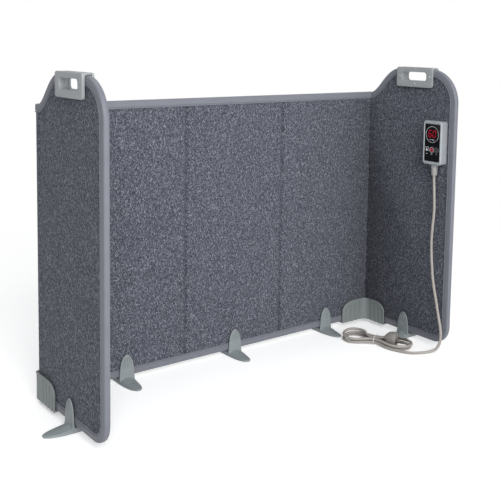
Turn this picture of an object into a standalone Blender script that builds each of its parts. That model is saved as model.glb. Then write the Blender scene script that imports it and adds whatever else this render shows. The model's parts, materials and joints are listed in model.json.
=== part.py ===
"""Under desk heater panel: a folding felt screen with heating film inside, on clip-on feet.

The back wall has three segments that fold at two creases, and a wing at each end
folds out at its corner. A controller on the right wing feeds from a supply cord
whose rest lies in a hank on the floor. Metres, +Z up, the open side towards -Y.
"""
import math

import bmesh
import bpy
from mathutils import Matrix, Vector

# Panel sizes
wall_inner_width = 0.6774
left_crease_x = -0.0872
right_crease_x = 0.1188
wall_top_z = 0.460
panel_bottom_z = 0.010
wing_width = 0.2095
wing_top_z = 0.509
wing_rise_run = 0.075
top_corner_radius = 0.060
bottom_corner_radius = 0.033

# The sandwich, from the inner face outward
felt_thickness = 0.0015
film_thickness = 0.0004
board_thickness = 0.0020
edging_thickness = 0.0012
edging_width = 0.013
edging_bead_width = 0.0016
edging_bead_rise = 0.0004
film_margin = 0.018
board_margin = 0.003

# Clearances
gap = 0.0003
overrun = 0.020
crease_half_angle = math.radians(30)

# Handles
handle_length = 0.086
handle_height = 0.036
handle_rise = 0.0042
handle_centre_s = 0.114
handle_overtop = 0.0025
handle_corner = 0.0045
handle_edge = 0.0010
slot_end_margin = 0.014
slot_height = 0.016
slot_corner = 0.0055
slot_below_plate_top = 0.0085
collar_wall = 0.0016

# Handle screws
screw_head_radius = 0.0026
screw_head_height = 0.0014
screw_shank_radius = 0.0012
screw_bite = 0.0022
screw_seat_depth = 0.0009

# Clip-on feet
foot_reach = 0.043
foot_width = 0.0285
foot_tip_width = 0.015
foot_rim_height = 0.0042
foot_hump_height = 0.0093
prong_width = 0.027
prong_top_z = 0.047
prong_thickness = 0.0026
prong_tip_thickness = 0.0018
groove_radius = 0.0008
groove_share_of_prong = 0.64
left_foot_x = -0.201
middle_foot_x = 0.0157
right_foot_x = 0.2315
wing_foot_s = 0.105

# Corner clips
clip_wall_leg = 0.062
clip_wing_leg = 0.054
clip_top_z = 0.0485
clip_end_top_z = 0.0325
clip_flat_length = 0.030
clip_bottom_z = 0.0072
clip_thickness = 0.0024
clip_rim = 0.0022
clip_groove_depth = 0.0007
clip_groove_width = 0.0016
clip_inner_radius = 0.011

# Controller
case_width = 0.041
case_height = 0.078
case_stand = 0.016
case_wall = 0.0022
case_back_wall = 0.0030
case_corner = 0.005
case_edge = 0.0014
case_from_front = 0.0375
case_bottom_z = 0.3395
frame_depth = 0.0032
glass_width = 0.0345
glass_height = 0.067
glass_thickness = 0.0015
glass_corner = 0.0022
board_pcb_thickness = 0.0016
display_margin = 0.004

# Strain relief, cord and plug
relief_radius = 0.0066
relief_end_radius = 0.0050
relief_length = 0.020
relief_rib = 0.0006
relief_stand = 0.008
cord_diameter = 0.005
tie_radius = 0.0006
plug_length = 0.0225
plug_radius = 0.0135
plug_neck_radius = 0.0050
plug_ring_start_share = 0.10
plug_ring_pitch_share = 0.14
plug_ring_share = 0.08
plug_face_share = 0.70
pin_length = 0.019
pin_radius = 0.0024
pin_spacing = 0.019

# The hank
hank_length = 0.1325
hank_loops = 2.083
hank_start_turn = 96
hank_open_width = 0.0140
hank_open_share = 0.62
hank_waist_share = 0.47
hank_pitch = 0.0072
hank_layer = 0.0058
hank_points_per_loop = 28
hank_centre_x = 0.2676
hank_centre_s = 0.1063
hank_turn = -62.9
tail_bend = 0.0205
plug_clear_of_tie = 0.0185

# Derived places
panel_thickness = 2 * edging_thickness + 5 * gap + 2 * felt_thickness + film_thickness + board_thickness
y_inner = (wing_width - (panel_thickness + foot_reach)) / 2
y_middle = y_inner + panel_thickness / 2
x_inner = wall_inner_width / 2
case_centre_s = wing_width - case_from_front
slot_length = handle_length - 2 * slot_end_margin
slot_above_plate_bottom = handle_height - slot_below_plate_top - slot_height

layer_depths = {}
depth = edging_thickness + gap
for layer, thickness in (
    ("inner_felt", felt_thickness),
    ("heating_film", film_thickness),
    ("core_board", board_thickness),
    ("outer_felt", felt_thickness),
):
    layer_depths[layer] = (depth + thickness / 2, thickness)
    depth += thickness + gap

for item in list(bpy.data.objects):
    bpy.data.objects.remove(item, do_unlink=True)

parts = bpy.data.collections.new("under_desk_heater_panel")
cutters = bpy.data.collections.new("cutters")
bpy.context.scene.collection.children.link(parts)
bpy.context.scene.collection.children.link(cutters)


def material(name, colour, roughness, metallic=0.0):
    made = bpy.data.materials.new(name)
    made.use_nodes = True
    shader = made.node_tree.nodes["Principled BSDF"]
    shader.inputs["Base Color"].default_value = (*colour, 1.0)
    shader.inputs["Roughness"].default_value = roughness
    shader.inputs["Metallic"].default_value = metallic
    return made


def empty(name, location):
    made = bpy.data.objects.new(name, None)
    made.location = location
    made.empty_display_size = handle_height
    parts.objects.link(made)
    bpy.context.view_layer.update()
    return made


def add(name, mesh, matrix, parent, look):
    """A named piece of the part, placed by its matrix and carried by a parent."""
    made = bpy.data.objects.new(name, mesh)
    parts.objects.link(made)
    made.parent = parent
    made.matrix_parent_inverse = parent.matrix_world.inverted()
    made.matrix_basis = matrix
    mesh.materials.clear()
    mesh.materials.append(look)
    mesh.shade_smooth()
    mesh.set_sharp_from_angle(angle=math.radians(35))
    return made


def cutter(name, mesh, matrix):
    made = bpy.data.objects.new(name, mesh)
    made.matrix_basis = matrix
    made.display_type = "WIRE"
    made.hide_render = True
    cutters.objects.link(made)
    return made


def cut(target, tool, operation="DIFFERENCE"):
    step = target.modifiers.new(tool.name, "BOOLEAN")
    step.operation = operation
    step.solver = "EXACT"
    step.object = tool


def bevel(target, width, segments=2, angle=50):
    step = target.modifiers.new("edge", "BEVEL")
    step.width = width
    step.segments = segments
    step.limit_method = "ANGLE"
    step.angle_limit = math.radians(angle)


def welded(mesh):
    """Closes a curve's loose caps and turns its faces out."""
    work = bmesh.new()
    work.from_mesh(mesh)
    bmesh.ops.remove_doubles(work, verts=work.verts, dist=gap / 100)
    bmesh.ops.recalc_face_normals(work, faces=work.faces)
    work.to_mesh(mesh)
    work.free()
    return mesh


def curve_mesh(curve):
    """The closed mesh of a curve, which is then removed."""
    guide = bpy.data.objects.new(curve.name, curve)
    cutters.objects.link(guide)
    bpy.context.view_layer.update()
    graph = bpy.context.evaluated_depsgraph_get()
    mesh = bpy.data.meshes.new_from_object(guide.evaluated_get(graph))
    bpy.data.objects.remove(guide, do_unlink=True)
    return welded(mesh)


def evaluated(target):
    """The mesh that a modified object shows, as a mesh of its own."""
    bpy.context.view_layer.update()
    graph = bpy.context.evaluated_depsgraph_get()
    return bpy.data.meshes.new_from_object(target.evaluated_get(graph))


def poly_curve(name, points, cyclic, dimensions):
    curve = bpy.data.curves.new(name, "CURVE")
    curve.dimensions = dimensions
    spline = curve.splines.new("POLY")
    spline.points.add(len(points) - 1)
    for knot, place in zip(spline.points, points):
        knot.co = (*place, 0.0, 1.0) if len(place) == 2 else (*place, 1.0)
    spline.use_cyclic_u = cyclic
    curve.resolution_u = 1
    curve.render_resolution_u = 0
    return curve


def slab(name, points, thickness):
    """A flat outline of the given thickness, centred on its own plane."""
    curve = poly_curve(name, points, True, "2D")
    curve.fill_mode = "BOTH"
    curve.extrude = thickness / 2
    return curve_mesh(curve)


def swept(name, points, section):
    """A closed section swept along a flat route."""
    profile = bpy.data.objects.new(name + " section", poly_curve(name + " section", section, True, "2D"))
    profile.data.fill_mode = "NONE"
    cutters.objects.link(profile)
    curve = poly_curve(name, points, False, "2D")
    curve.fill_mode = "NONE"
    curve.bevel_mode = "OBJECT"
    curve.bevel_object = profile
    curve.use_fill_caps = True
    mesh = curve_mesh(curve)
    bpy.data.objects.remove(profile, do_unlink=True)
    return mesh


def tube(name, points, radius, resolution):
    curve = poly_curve(name, points, False, "3D")
    curve.bevel_depth = radius
    curve.bevel_resolution = resolution
    curve.use_fill_caps = True
    return curve_mesh(curve)


def turned(name, profile, steps=20):
    """A turned solid about Z from (radius, height) pairs that run bottom to top."""
    mesh = bpy.data.meshes.new(name)
    work = bmesh.new()
    knots = [work.verts.new((radius, 0.0, height)) for radius, height in reversed(profile)]
    for one, two in zip(knots, knots[1:]):
        work.edges.new((one, two))
    work.to_mesh(mesh)
    work.free()
    guide = bpy.data.objects.new(name, mesh)
    cutters.objects.link(guide)
    screw = guide.modifiers.new("turn", "SCREW")
    screw.steps = steps
    screw.render_steps = steps
    screw.use_merge_vertices = True
    screw.merge_threshold = gap / 100
    solid = evaluated(guide)
    bpy.data.objects.remove(guide, do_unlink=True)
    return welded(solid)


def block(name, size):
    mesh = bpy.data.meshes.new(name)
    work = bmesh.new()
    bmesh.ops.create_cube(work, size=1.0)
    bmesh.ops.scale(work, vec=size, verts=work.verts)
    work.to_mesh(mesh)
    work.free()
    return mesh


def joined(name, meshes_and_matrices):
    """Several separate solids in one mesh."""
    work = bmesh.new()
    for mesh, matrix in meshes_and_matrices:
        fresh = bmesh.new()
        fresh.from_mesh(mesh)
        bmesh.ops.transform(fresh, matrix=matrix, verts=fresh.verts)
        moved = bpy.data.meshes.new(name)
        fresh.to_mesh(moved)
        fresh.free()
        work.from_mesh(moved)
    result = bpy.data.meshes.new(name)
    work.to_mesh(result)
    work.free()
    return result


def arc(centre_x, centre_y, radius, start, end, steps):
    """Points on an arc, its angles in degrees."""
    turn = [math.radians(start + (end - start) * i / steps) for i in range(steps + 1)]
    return [(centre_x + radius * math.cos(a), centre_y + radius * math.sin(a)) for a in turn]


def bezier(p0, p1, p2, p3, steps):
    points = []
    for i in range(steps + 1):
        t = i / steps
        weights = ((1 - t) ** 3, 3 * t * (1 - t) ** 2, 3 * t * t * (1 - t), t ** 3)
        points.append(tuple(sum(w * p[k] for w, p in zip(weights, (p0, p1, p2, p3))) for k in (0, 1)))
    return points


def rounded_rectangle(width, height, radius, steps=4):
    points = []
    for sign_x, sign_y, start in ((1, 1, 0), (-1, 1, 90), (-1, -1, 180), (1, -1, 270)):
        centre_x = sign_x * (width / 2 - radius)
        centre_y = sign_y * (height / 2 - radius)
        points += arc(centre_x, centre_y, radius, start, start + 90, steps)
    return points


def inset(points, distance):
    """An open outline moved to its left by a distance."""
    moved = []
    for i, place in enumerate(points):
        before = Vector(points[max(i - 1, 0)])
        here = Vector(place)
        after = Vector(points[min(i + 1, len(points) - 1)])
        sides = [leg.normalized() for leg in (here - before, after - here) if leg.length > 0]
        normals = [Vector((-leg.y, leg.x)) for leg in sides]
        middle = sum(normals, Vector((0.0, 0.0))).normalized()
        moved.append(tuple(here + middle * (distance / middle.dot(normals[0]))))
    return moved


def frame(x_axis, y_axis, z_axis, origin):
    matrix = Matrix((x_axis, y_axis, z_axis)).transposed().to_4x4()
    matrix.translation = origin
    return matrix


def wall_frame(across):
    """Outline x along the wall and y up, at a depth from the wall's inner face."""
    return frame((1, 0, 0), (0, 0, 1), (0, -1, 0), (0, y_inner + across, 0))


def wing_frame(side, across):
    """Outline x from the wall towards the wing's front and y up."""
    return frame((0, -1, 0), (0, 0, 1), (-1, 0, 0), (side * (x_inner + across), y_inner, 0))


def face_frame(side, s, z, across):
    """On a wing's inner face: local z points into the space that the wings close in."""
    place = (side * (x_inner + across), y_inner - s, z)
    return frame((0, -side, 0), (0, 0, 1), (-side, 0, 0), place)


# Materials
felt_look = material("heathered felt", (0.100, 0.103, 0.120), 0.95)
felt_look_outer = material("heathered felt outside", (0.100, 0.103, 0.120), 0.95)
film_look = material("heating film", (0.02, 0.02, 0.022), 0.45)
board_look = material("core board", (0.55, 0.50, 0.42), 0.8)
edging_look = material("edging strip", (0.155, 0.165, 0.190), 0.55)
handle_look = material("handle plastic", (0.262, 0.283, 0.292), 0.45)
screw_look = material("screw steel", (0.45, 0.45, 0.46), 0.35, 0.9)
foot_look = material("foot plastic", (0.180, 0.205, 0.209), 0.5)
clip_look = material("clip plastic", (0.156, 0.175, 0.175), 0.5)
case_look = material("controller case", (0.235, 0.245, 0.250), 0.4)
frame_look = material("controller frame", (0.330, 0.340, 0.345), 0.35)
glass_look = material("display glass", (0.008, 0.008, 0.010), 0.12)
pcb_look = material("circuit board", (0.02, 0.10, 0.04), 0.5)
cord_look = material("cord sheath", (0.400, 0.390, 0.375), 0.5)
tie_look = material("tie", (0.85, 0.85, 0.84), 0.4)
plug_look = material("plug", (0.160, 0.160, 0.158), 0.5)
pin_look = material("plug pin", (0.60, 0.60, 0.58), 0.25, 1.0)

# Bodies: the middle wall is the root, the rest hang on their hinges' axes
middle_wall = empty("middle_wall", (0, 0, 0))
left_wall = empty("left_wall", (left_crease_x, y_middle, 0))
right_wall = empty("right_wall", (right_crease_x, y_middle, 0))
corner_pivot = panel_thickness + edging_bead_rise
left_wing = empty("left_wing", (-x_inner - corner_pivot, y_inner + corner_pivot, 0))
right_wing = empty("right_wing", (x_inner + corner_pivot, y_inner + corner_pivot, 0))
for child, parent in ((left_wall, middle_wall), (right_wall, middle_wall), (left_wing, left_wall),
                      (right_wing, right_wall)):
    child.parent = parent
    child.matrix_parent_inverse = parent.matrix_world.inverted()
bpy.context.view_layer.update()

# Cutters for the creases and corners
groove_half = panel_thickness / 2 + overrun
groove_spread = gap / 2 + groove_half * math.tan(crease_half_angle)
crease_section = [
    (gap / 2, 0), (groove_spread, groove_half), (-groove_spread, groove_half),
    (-gap / 2, 0), (-groove_spread, -groove_half), (groove_spread, -groove_half),
]
crease_height = max(wall_top_z, wing_top_z) + 2 * overrun
crease_cuts = {}
for side, crease_x in (("left", left_crease_x), ("right", right_crease_x)):
    place = Matrix.Translation((crease_x, y_middle, crease_height / 2 - overrun))
    crease_cuts[side] = cutter(side + " crease cut", slab("crease", crease_section, crease_height), place)

mitre_size = 8 * panel_thickness
mitre_cuts = {}
for side in (-1, 1):
    for half, away in (("wall", 1), ("wing", -1)):
        normal = Vector((side * away, -away, 0)).normalized()
        corner = Vector((side * (x_inner + panel_thickness / 2), y_middle, crease_height / 2 - overrun))
        place = Matrix.Translation(corner + normal * (mitre_size / 2 - gap / 2))
        place = place @ Matrix.Rotation(side * math.radians(-45), 4, "Z")
        mesh = block("mitre", (mitre_size, mitre_size, crease_height))
        mitre_cuts[side, half] = cutter(f"{half} mitre cut {side}", mesh, place)

# The wing's outline, from the bottom at the corner round the front to the top at the corner
outline_back = panel_thickness + gap


def wing_edge():
    front = wing_width
    shares = ((0.293, 0.082), (0.507, 1.0))
    rise = wing_top_z - wall_top_z
    points = [(-outline_back, panel_bottom_z)]
    points += arc(front - bottom_corner_radius, panel_bottom_z + bottom_corner_radius,
                  bottom_corner_radius, -90, 0, 5)
    points += arc(front - top_corner_radius, wing_top_z - top_corner_radius, top_corner_radius, 0, 90, 7)
    controls = [(wing_rise_run * across, wall_top_z + rise * up) for across, up in shares]
    points += bezier((wing_rise_run, wing_top_z), controls[1], controls[0], (0, wall_top_z), 7)
    points.append((-outline_back, wall_top_z))
    return points


def edging_section(inward):
    """The folded strip's section: local x points out of the panel, y across it."""
    half = panel_thickness / 2
    lip = half + edging_bead_rise
    side = [
        (0, half - edging_thickness * 0.5), (-edging_thickness * 0.5, half),
        (-edging_width + edging_bead_width, half), (-edging_width + edging_bead_width * 0.75, lip),
        (-edging_width + edging_bead_width * 0.25, lip), (-edging_width, half),
        (-edging_width, half - edging_thickness), (-edging_thickness, half - edging_thickness),
    ]
    section = side + [(x, -y) for x, y in reversed(side)]
    return [(inward * x, y) for x, y in section]


layer_insets = {
    "inner_felt": edging_thickness + gap,
    "heating_film": film_margin,
    "core_board": board_margin,
    "outer_felt": edging_thickness + gap,
}
layer_looks = {
    "inner_felt": felt_look,
    "heating_film": film_look,
    "core_board": board_look,
    "outer_felt": felt_look_outer,
}

# Wall segments
mitre_reach = panel_thickness + gap
segments = (
    ("middle_wall", middle_wall, left_crease_x, right_crease_x, ("left", "right"), None),
    ("left_wall", left_wall, -x_inner - mitre_reach, left_crease_x, ("left",), -1),
    ("right_wall", right_wall, right_crease_x, x_inner + mitre_reach, ("right",), 1),
)
for name, body, x0, x1, creases, corner_side in segments:
    made = []
    for layer, (across, thickness) in layer_depths.items():
        margin = layer_insets[layer]
        low = panel_bottom_z + margin
        high = wall_top_z - margin
        outline = [(x0, low), (x1, low), (x1, high), (x0, high)]
        mesh = slab(f"{name} {layer}", outline, thickness)
        made.append(add(f"{name}_{layer}", mesh, wall_frame(across), body, layer_looks[layer]))
    for edge, level, inward in (("bottom", panel_bottom_z, 1), ("top", wall_top_z, -1)):
        mesh = swept(f"{name} {edge} edging", [(x0, level), (x1, level)], edging_section(inward))
        placed = wall_frame(panel_thickness / 2)
        made.append(add(f"{name}_{edge}_edging", mesh, placed, body, edging_look))
    for piece in made:
        for crease in creases:
            cut(piece, crease_cuts[crease])
        if corner_side:
            cut(piece, mitre_cuts[corner_side, "wall"])

# Handle cutters, one set a wing
plate_bottom_z = wing_top_z + handle_overtop - handle_height
plate_centre_z = plate_bottom_z + handle_height / 2
slot_centre_z = plate_bottom_z + slot_above_plate_bottom + slot_height / 2
end_screw_s = (slot_length + handle_length) / 4
low_screw_drop = (slot_height + slot_above_plate_bottom) / 2
screw_spots = ((-end_screw_s, 0), (end_screw_s, 0), (0, -low_screw_drop))
plate_face = handle_rise
seat_clear = gap + edging_bead_rise
plate_back = panel_thickness + seat_clear
seat_z = plate_face - screw_seat_depth
shank_end = -(panel_thickness + screw_bite)


def screw_profile(clear):
    """A pan-head screw standing on its axis, head up, grown by a clearance."""
    head = screw_head_radius + clear
    shank = screw_shank_radius + clear
    top = seat_z + screw_head_height
    return [
        (0, shank_end - clear), (shank, shank_end - clear), (shank, seat_z - clear),
        (head, seat_z - clear), (head, top - screw_head_height / 3), (head - screw_head_height / 3, top), (0, top),
    ]


def hole_profile(clear):
    head = screw_head_radius + clear
    shank = screw_shank_radius + clear
    return [
        (0, shank_end - clear), (shank, shank_end - clear), (shank, seat_z - clear),
        (head, seat_z - clear), (head, seat_z + overrun), (0, seat_z + overrun),
    ]


screw_mesh = turned("screw", screw_profile(0), 10)
hole_mesh = turned("screw hole", hole_profile(gap), 10)
# Wings with their handles
for side, word in ((-1, "left"), (1, "right")):
    body = left_wing if side < 0 else right_wing
    name = f"{word}_wing"
    handle_place = face_frame(side, handle_centre_s, slot_centre_z, 0)
    through = panel_thickness + 2 * overrun
    through_place = handle_place @ Matrix.Translation((0, 0, -panel_thickness / 2))
    slot_outline = rounded_rectangle(slot_length, slot_height, slot_corner, 5)
    grown = 2 * (collar_wall + gap)
    wide_outline = rounded_rectangle(slot_length + grown, slot_height + grown, slot_corner + grown / 2, 5)
    wide_cut = cutter(f"{word} panel slot cut", slab("panel slot", wide_outline, through), through_place)
    holes = joined("screw holes", [(hole_mesh, Matrix.Translation((x, z, 0))) for x, z in screw_spots])
    hole_cut = cutter(f"{word} screw hole cut", holes, handle_place)

    made = []
    for layer, (across, thickness) in layer_depths.items():
        edge = wing_edge()
        outline = inset(edge, layer_insets[layer])
        mesh = slab(f"{name} {layer}", outline, thickness)
        made.append(add(f"{name}_{layer}", mesh, wing_frame(side, across), body, layer_looks[layer]))
    mesh = swept(f"{name} edging", wing_edge(), edging_section(1))
    made.append(add(f"{name}_edging", mesh, wing_frame(side, panel_thickness / 2), body, edging_look))
    for piece in made:
        cut(piece, mitre_cuts[side, "wing"])
        cut(piece, wide_cut)
        cut(piece, hole_cut)

    # Outer plate: it bridges the panel's top and its collar lines the slot
    plate_outline = rounded_rectangle(handle_length, handle_height, handle_corner)
    plate_lift = plate_centre_z - slot_centre_z
    outer_deep = plate_back + handle_rise
    outer_place = handle_place @ Matrix.Translation((0, plate_lift, -outer_deep / 2))
    outer = add(f"{name}_handle_outer_plate", slab("outer plate", plate_outline, outer_deep), outer_place, body,
                handle_look)
    bevel(outer, handle_edge)
    room_height = handle_height + overrun
    room_top = wing_top_z + gap - slot_centre_z
    room_deep = plate_back + overrun
    room = cutter(f"{word} handle room cut", block("room", (handle_length + overrun, room_height, room_deep)),
                  handle_place @ Matrix.Translation((0, room_top - room_height / 2, room_deep / 2 - plate_back)))
    cut(outer, room)
    collar_outline = rounded_rectangle(slot_length + 2 * collar_wall, slot_height + 2 * collar_wall,
                                       slot_corner + collar_wall, 5)
    collar_deep = plate_back + handle_rise / 2
    collar_place = handle_place @ Matrix.Translation((0, 0, -collar_deep / 2))
    collar = cutter(f"{word} collar", slab("collar", collar_outline, collar_deep), collar_place)
    cut(outer, collar, "UNION")
    slot_cut = cutter(f"{word} slot cut", slab("slot", slot_outline, through), through_place)
    cut(outer, slot_cut)
    cut(outer, hole_cut)

    inner_deep = handle_rise - seat_clear
    inner_place = handle_place @ Matrix.Translation((0, plate_lift, seat_clear + inner_deep / 2))
    inner = add(f"{name}_handle_inner_plate", slab("inner plate", plate_outline, inner_deep), inner_place,
                body, handle_look)
    bevel(inner, handle_edge)
    cut(inner, slot_cut)
    cut(inner, hole_cut)

    for number, (x, z) in enumerate(screw_spots, 1):
        place = handle_place @ Matrix.Translation((x, z, 0))
        add(f"{name}_handle_screw_{number}", screw_mesh.copy(), place, body, screw_look)

# Clip-on feet: made once on the panel's middle line, then set at each place
foot_half = panel_thickness / 2 + foot_reach
leaf_shares = ((1.0, 0.0), (0.99, 0.22), (0.95, 0.42), (0.85, 0.62), (0.67, 0.82), (0.44, 0.96), (0.22, 1.0))
quarter = [(foot_width / 2 * wide, foot_half * along) for along, wide in leaf_shares]
leaf = [(x, y) for x, y in quarter] + [(x, -y) for x, y in reversed(quarter)]
leaf += [(-x, -y) for x, y in quarter[1:]] + [(-x, y) for x, y in reversed(quarter[1:])]
base = cutter("foot blank", slab("foot leaf", leaf, foot_hump_height),
              Matrix.Translation((0, 0, foot_hump_height / 2)))

# The base's side view: high at the prongs, sloping in a shallow hollow to a low rim
slope_shares = ((0.16, 1.0), (0.30, 0.72), (0.50, 0.38), (0.72, 0.12), (1.0, 0.0))
rise = foot_hump_height - foot_rim_height
half_top = [(foot_half * along, foot_rim_height + rise * up) for along, up in slope_shares]
side_view = [(-foot_half - overrun, 0), (foot_half + overrun, 0), (foot_half + overrun, foot_rim_height)]
side_view += list(reversed(half_top)) + [(-y, z) for y, z in half_top]
side_view.append((-foot_half - overrun, foot_rim_height))
side_place = frame((0, 1, 0), (0, 0, 1), (1, 0, 0), (0, 0, 0))
side_cut = cutter("foot side view", slab("foot side view", side_view, foot_width + overrun), side_place)
cut(base, side_cut, "INTERSECT")

# Both prongs are one pointed arch through the panel's room: half widths and heights as shares
prong_shares = ((1.0, 0.21), (0.93, 0.38), (0.78, 0.64), (0.60, 0.86), (0.47, 0.93), (0.26, 0.98), (0.0, 1.0))


def prong_half(z):
    """The arch's half width at a height."""
    up = z / prong_top_z
    for (wide, low), (narrow, high) in zip(prong_shares, prong_shares[1:]):
        if up <= high:
            return prong_width / 2 * (wide + (narrow - wide) * max(0.0, up - low) / (high - low))
    return 0.0


arch_side = [(prong_width / 2 * wide, prong_top_z * up) for wide, up in prong_shares]
arch = [(-prong_width / 2, foot_rim_height / 2), (prong_width / 2, foot_rim_height / 2)] + arch_side
arch += [(-x, z) for x, z in reversed(arch_side[:-1])]
prong_span = panel_thickness + 2 * (gap + edging_bead_rise + prong_thickness)
arch_place = frame((1, 0, 0), (0, 0, 1), (0, -1, 0), (0, 0, 0))
prongs = cutter("foot prongs", slab("foot prongs", arch, prong_span), arch_place)
bevel(prongs, prong_tip_thickness / 2, 1)
cut(base, prongs, "UNION")
panel_room = panel_thickness + 2 * (gap + edging_bead_rise)
room_top = prong_top_z + overrun
room_low = panel_bottom_z - gap
room = cutter("foot panel room", block("room", (foot_width + 2 * overrun, panel_room, room_top - room_low)),
              Matrix.Translation((0, 0, (room_top + room_low) / 2)))
cut(base, room)

# Grooves fan down from each prong's point
groove_bottom = prong_top_z - (prong_top_z - foot_hump_height) * groove_share_of_prong
groove_shares = (-0.66, -0.33, 0.0, 0.33, 0.66)
groove_steps = 5
for face in (-1, 1):
    for number, share in enumerate(groove_shares):
        route = []
        for i in range(groove_steps + 1):
            z = groove_bottom + (prong_top_z - 4 * groove_radius - groove_bottom) * i / groove_steps
            route.append((share * prong_half(z), face * prong_span / 2, z))
        groove = cutter(f"foot groove {face} {number}", tube("groove", route, groove_radius, 0), Matrix())
        cut(base, groove)
foot_mesh = evaluated(base)

feet = (
    ("left_wall_foot", left_wall, left_foot_x, y_middle, 0),
    ("middle_wall_foot", middle_wall, middle_foot_x, y_middle, 0),
    ("right_wall_foot", right_wall, right_foot_x, y_middle, 0),
    ("left_wing_foot", left_wing, -(x_inner + panel_thickness / 2), y_inner - wing_foot_s, 90),
    ("right_wing_foot", right_wing, x_inner + panel_thickness / 2, y_inner - wing_foot_s, -90),
)
for name, body, x, y, turn in feet:
    place = Matrix.Translation((x, y, foot_hump_height / 2)) @ Matrix.Rotation(math.radians(turn), 4, "Z")
    add(name, foot_mesh.copy(), place, body, foot_look)

# Corner clips: an angled channel that clasps wall and wing, drawn for the right corner
clear = gap + edging_bead_rise
inside = -(clear + clip_thickness)
outside = panel_thickness + clear + clip_thickness


def angle_outline(near, far, wall_leg, wing_leg, inner_radius, outer_radius):
    """An angle in plan about the corner of the panel's inner faces, legs along -x and -y."""
    points = [(-wall_leg, far), (-wall_leg, near)]
    if inner_radius:
        points += list(reversed(arc(near - inner_radius, near - inner_radius, inner_radius, 0, 90, 5)))
    else:
        points.append((near, near))
    points += [(near, -wing_leg), (far, -wing_leg)]
    points += arc(far - outer_radius, far - outer_radius, outer_radius, 0, 90, 5)
    return points


def clip_end_cut(leg):
    """What is cut off above a leg: its top edge falls in a curve to the leg's end."""
    fall = leg - clip_flat_length
    drop = clip_top_z - clip_end_top_z
    points = bezier((-clip_flat_length, clip_top_z), (-clip_flat_length - fall * 0.55, clip_top_z),
                    (-leg, clip_end_top_z + drop * 0.55), (-leg, clip_end_top_z), 8)
    points += [(-leg - overrun, clip_end_top_z), (-leg - overrun, clip_top_z + overrun)]
    points.append((-clip_flat_length, clip_top_z + overrun))
    return points


flute_shares = (0.30, 0.50, 0.70, 0.89)
for side, word in ((-1, "left"), (1, "right")):
    body = left_wing if side < 0 else right_wing
    clip_high = clip_top_z - clip_bottom_z
    shell = angle_outline(inside, outside, clip_wall_leg, clip_wing_leg, clip_inner_radius, clip_thickness * 2)
    room = angle_outline(-clear, panel_thickness + clear, clip_wall_leg + overrun, clip_wing_leg + overrun, 0, gap)
    if side < 0:
        shell = [(-x, y) for x, y in reversed(shell)]
        room = [(-x, y) for x, y in reversed(room)]
    place = Matrix.Translation((side * x_inner, y_inner, clip_bottom_z + clip_high / 2))
    clip = add(f"{word}_corner_clip", slab("clip", shell, clip_high), place, body, clip_look)
    room_low = panel_bottom_z - gap
    room_high = clip_top_z + overrun
    place = Matrix.Translation((side * x_inner, y_inner, (room_low + room_high) / 2))
    cut(clip, cutter(f"{word} clip room", slab("clip room", room, room_high - room_low), place))
    along_wall = frame((side, 0, 0), (0, 0, 1), (0, -side, 0), (side * x_inner, y_inner + panel_thickness / 2, 0))
    along_wing = frame((0, 1, 0), (0, 0, 1), (1, 0, 0), (side * (x_inner + panel_thickness / 2), y_inner, 0))
    across = outside - inside + overrun
    flutes = []
    for word_leg, leg, along in (("wall", clip_wall_leg, along_wall), ("wing", clip_wing_leg, along_wing)):
        cut(clip, cutter(f"{word} clip {word_leg} arch", slab("clip arch", clip_end_cut(leg), across), along))
        for share in flute_shares:
            reach = leg * share
            for depth_place in (inside, outside):
                # A flute stops at the rim above and runs out of the lower edge
                past = max(0.0, min(1.0, (reach - clip_flat_length) / (leg - clip_flat_length)))
                top = clip_top_z - (clip_top_z - clip_end_top_z) * past * past - 2 * clip_rim
                tall = top - clip_bottom_z + overrun
                flute = block("flute", (clip_groove_width, 2 * clip_groove_depth, tall))
                centre = (-reach, depth_place) if word_leg == "wall" else (depth_place, -reach)
                turn = Matrix() if word_leg == "wall" else Matrix.Rotation(math.radians(90), 4, "Z")
                spot = (side * (x_inner + centre[0]), y_inner + centre[1], top - tall / 2)
                flutes.append((flute, Matrix.Translation(spot) @ turn))
    cut(clip, cutter(f"{word} clip flutes", joined("clip flutes", flutes), Matrix()))

# Controller on the right wing's inner face, local z into the room
case_centre_z = case_bottom_z + case_height / 2
case_back = -(edging_thickness)
case_front = case_stand - frame_depth - gap
case_deep = case_front - case_back
case_place = face_frame(1, case_centre_s, case_centre_z, 0)
case_outline = rounded_rectangle(case_width, case_height, case_corner)
case = add("controller_case", slab("case", case_outline, case_deep),
           case_place @ Matrix.Translation((0, 0, (case_front + case_back) / 2)), right_wing, case_look)
hollow_outline = rounded_rectangle(case_width - 2 * case_wall, case_height - 2 * case_wall, case_corner - case_wall)
hollow_deep = case_deep - case_back_wall
hollow = cutter("case hollow", slab("case hollow", hollow_outline, hollow_deep + overrun),
                case_place @ Matrix.Translation((0, 0, case_front - hollow_deep + (hollow_deep + overrun) / 2)))
cut(case, hollow)
floor = case_front - hollow_deep
pcb_outline = rounded_rectangle(case_width - 2 * (case_wall + gap), case_height - 2 * (case_wall + gap),
                                case_corner - case_wall - gap)
pcb = add("controller_circuit_board", slab("circuit board", pcb_outline, board_pcb_thickness),
          case_place @ Matrix.Translation((0, 0, floor + gap + board_pcb_thickness / 2)), right_wing, pcb_look)
glass_face = case_stand - gap
glass_back = glass_face - glass_thickness
stack_low = floor + gap + board_pcb_thickness
display_block = cutter(
    "display module",
    slab("display module", rounded_rectangle(glass_width - 2 * display_margin, glass_height - 2 * display_margin,
                                             glass_corner), glass_back - gap - stack_low + board_pcb_thickness / 2),
    case_place @ Matrix.Translation((0, 0, (glass_back - gap + stack_low - board_pcb_thickness / 2) / 2)))
cut(pcb, display_block, "UNION")
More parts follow.
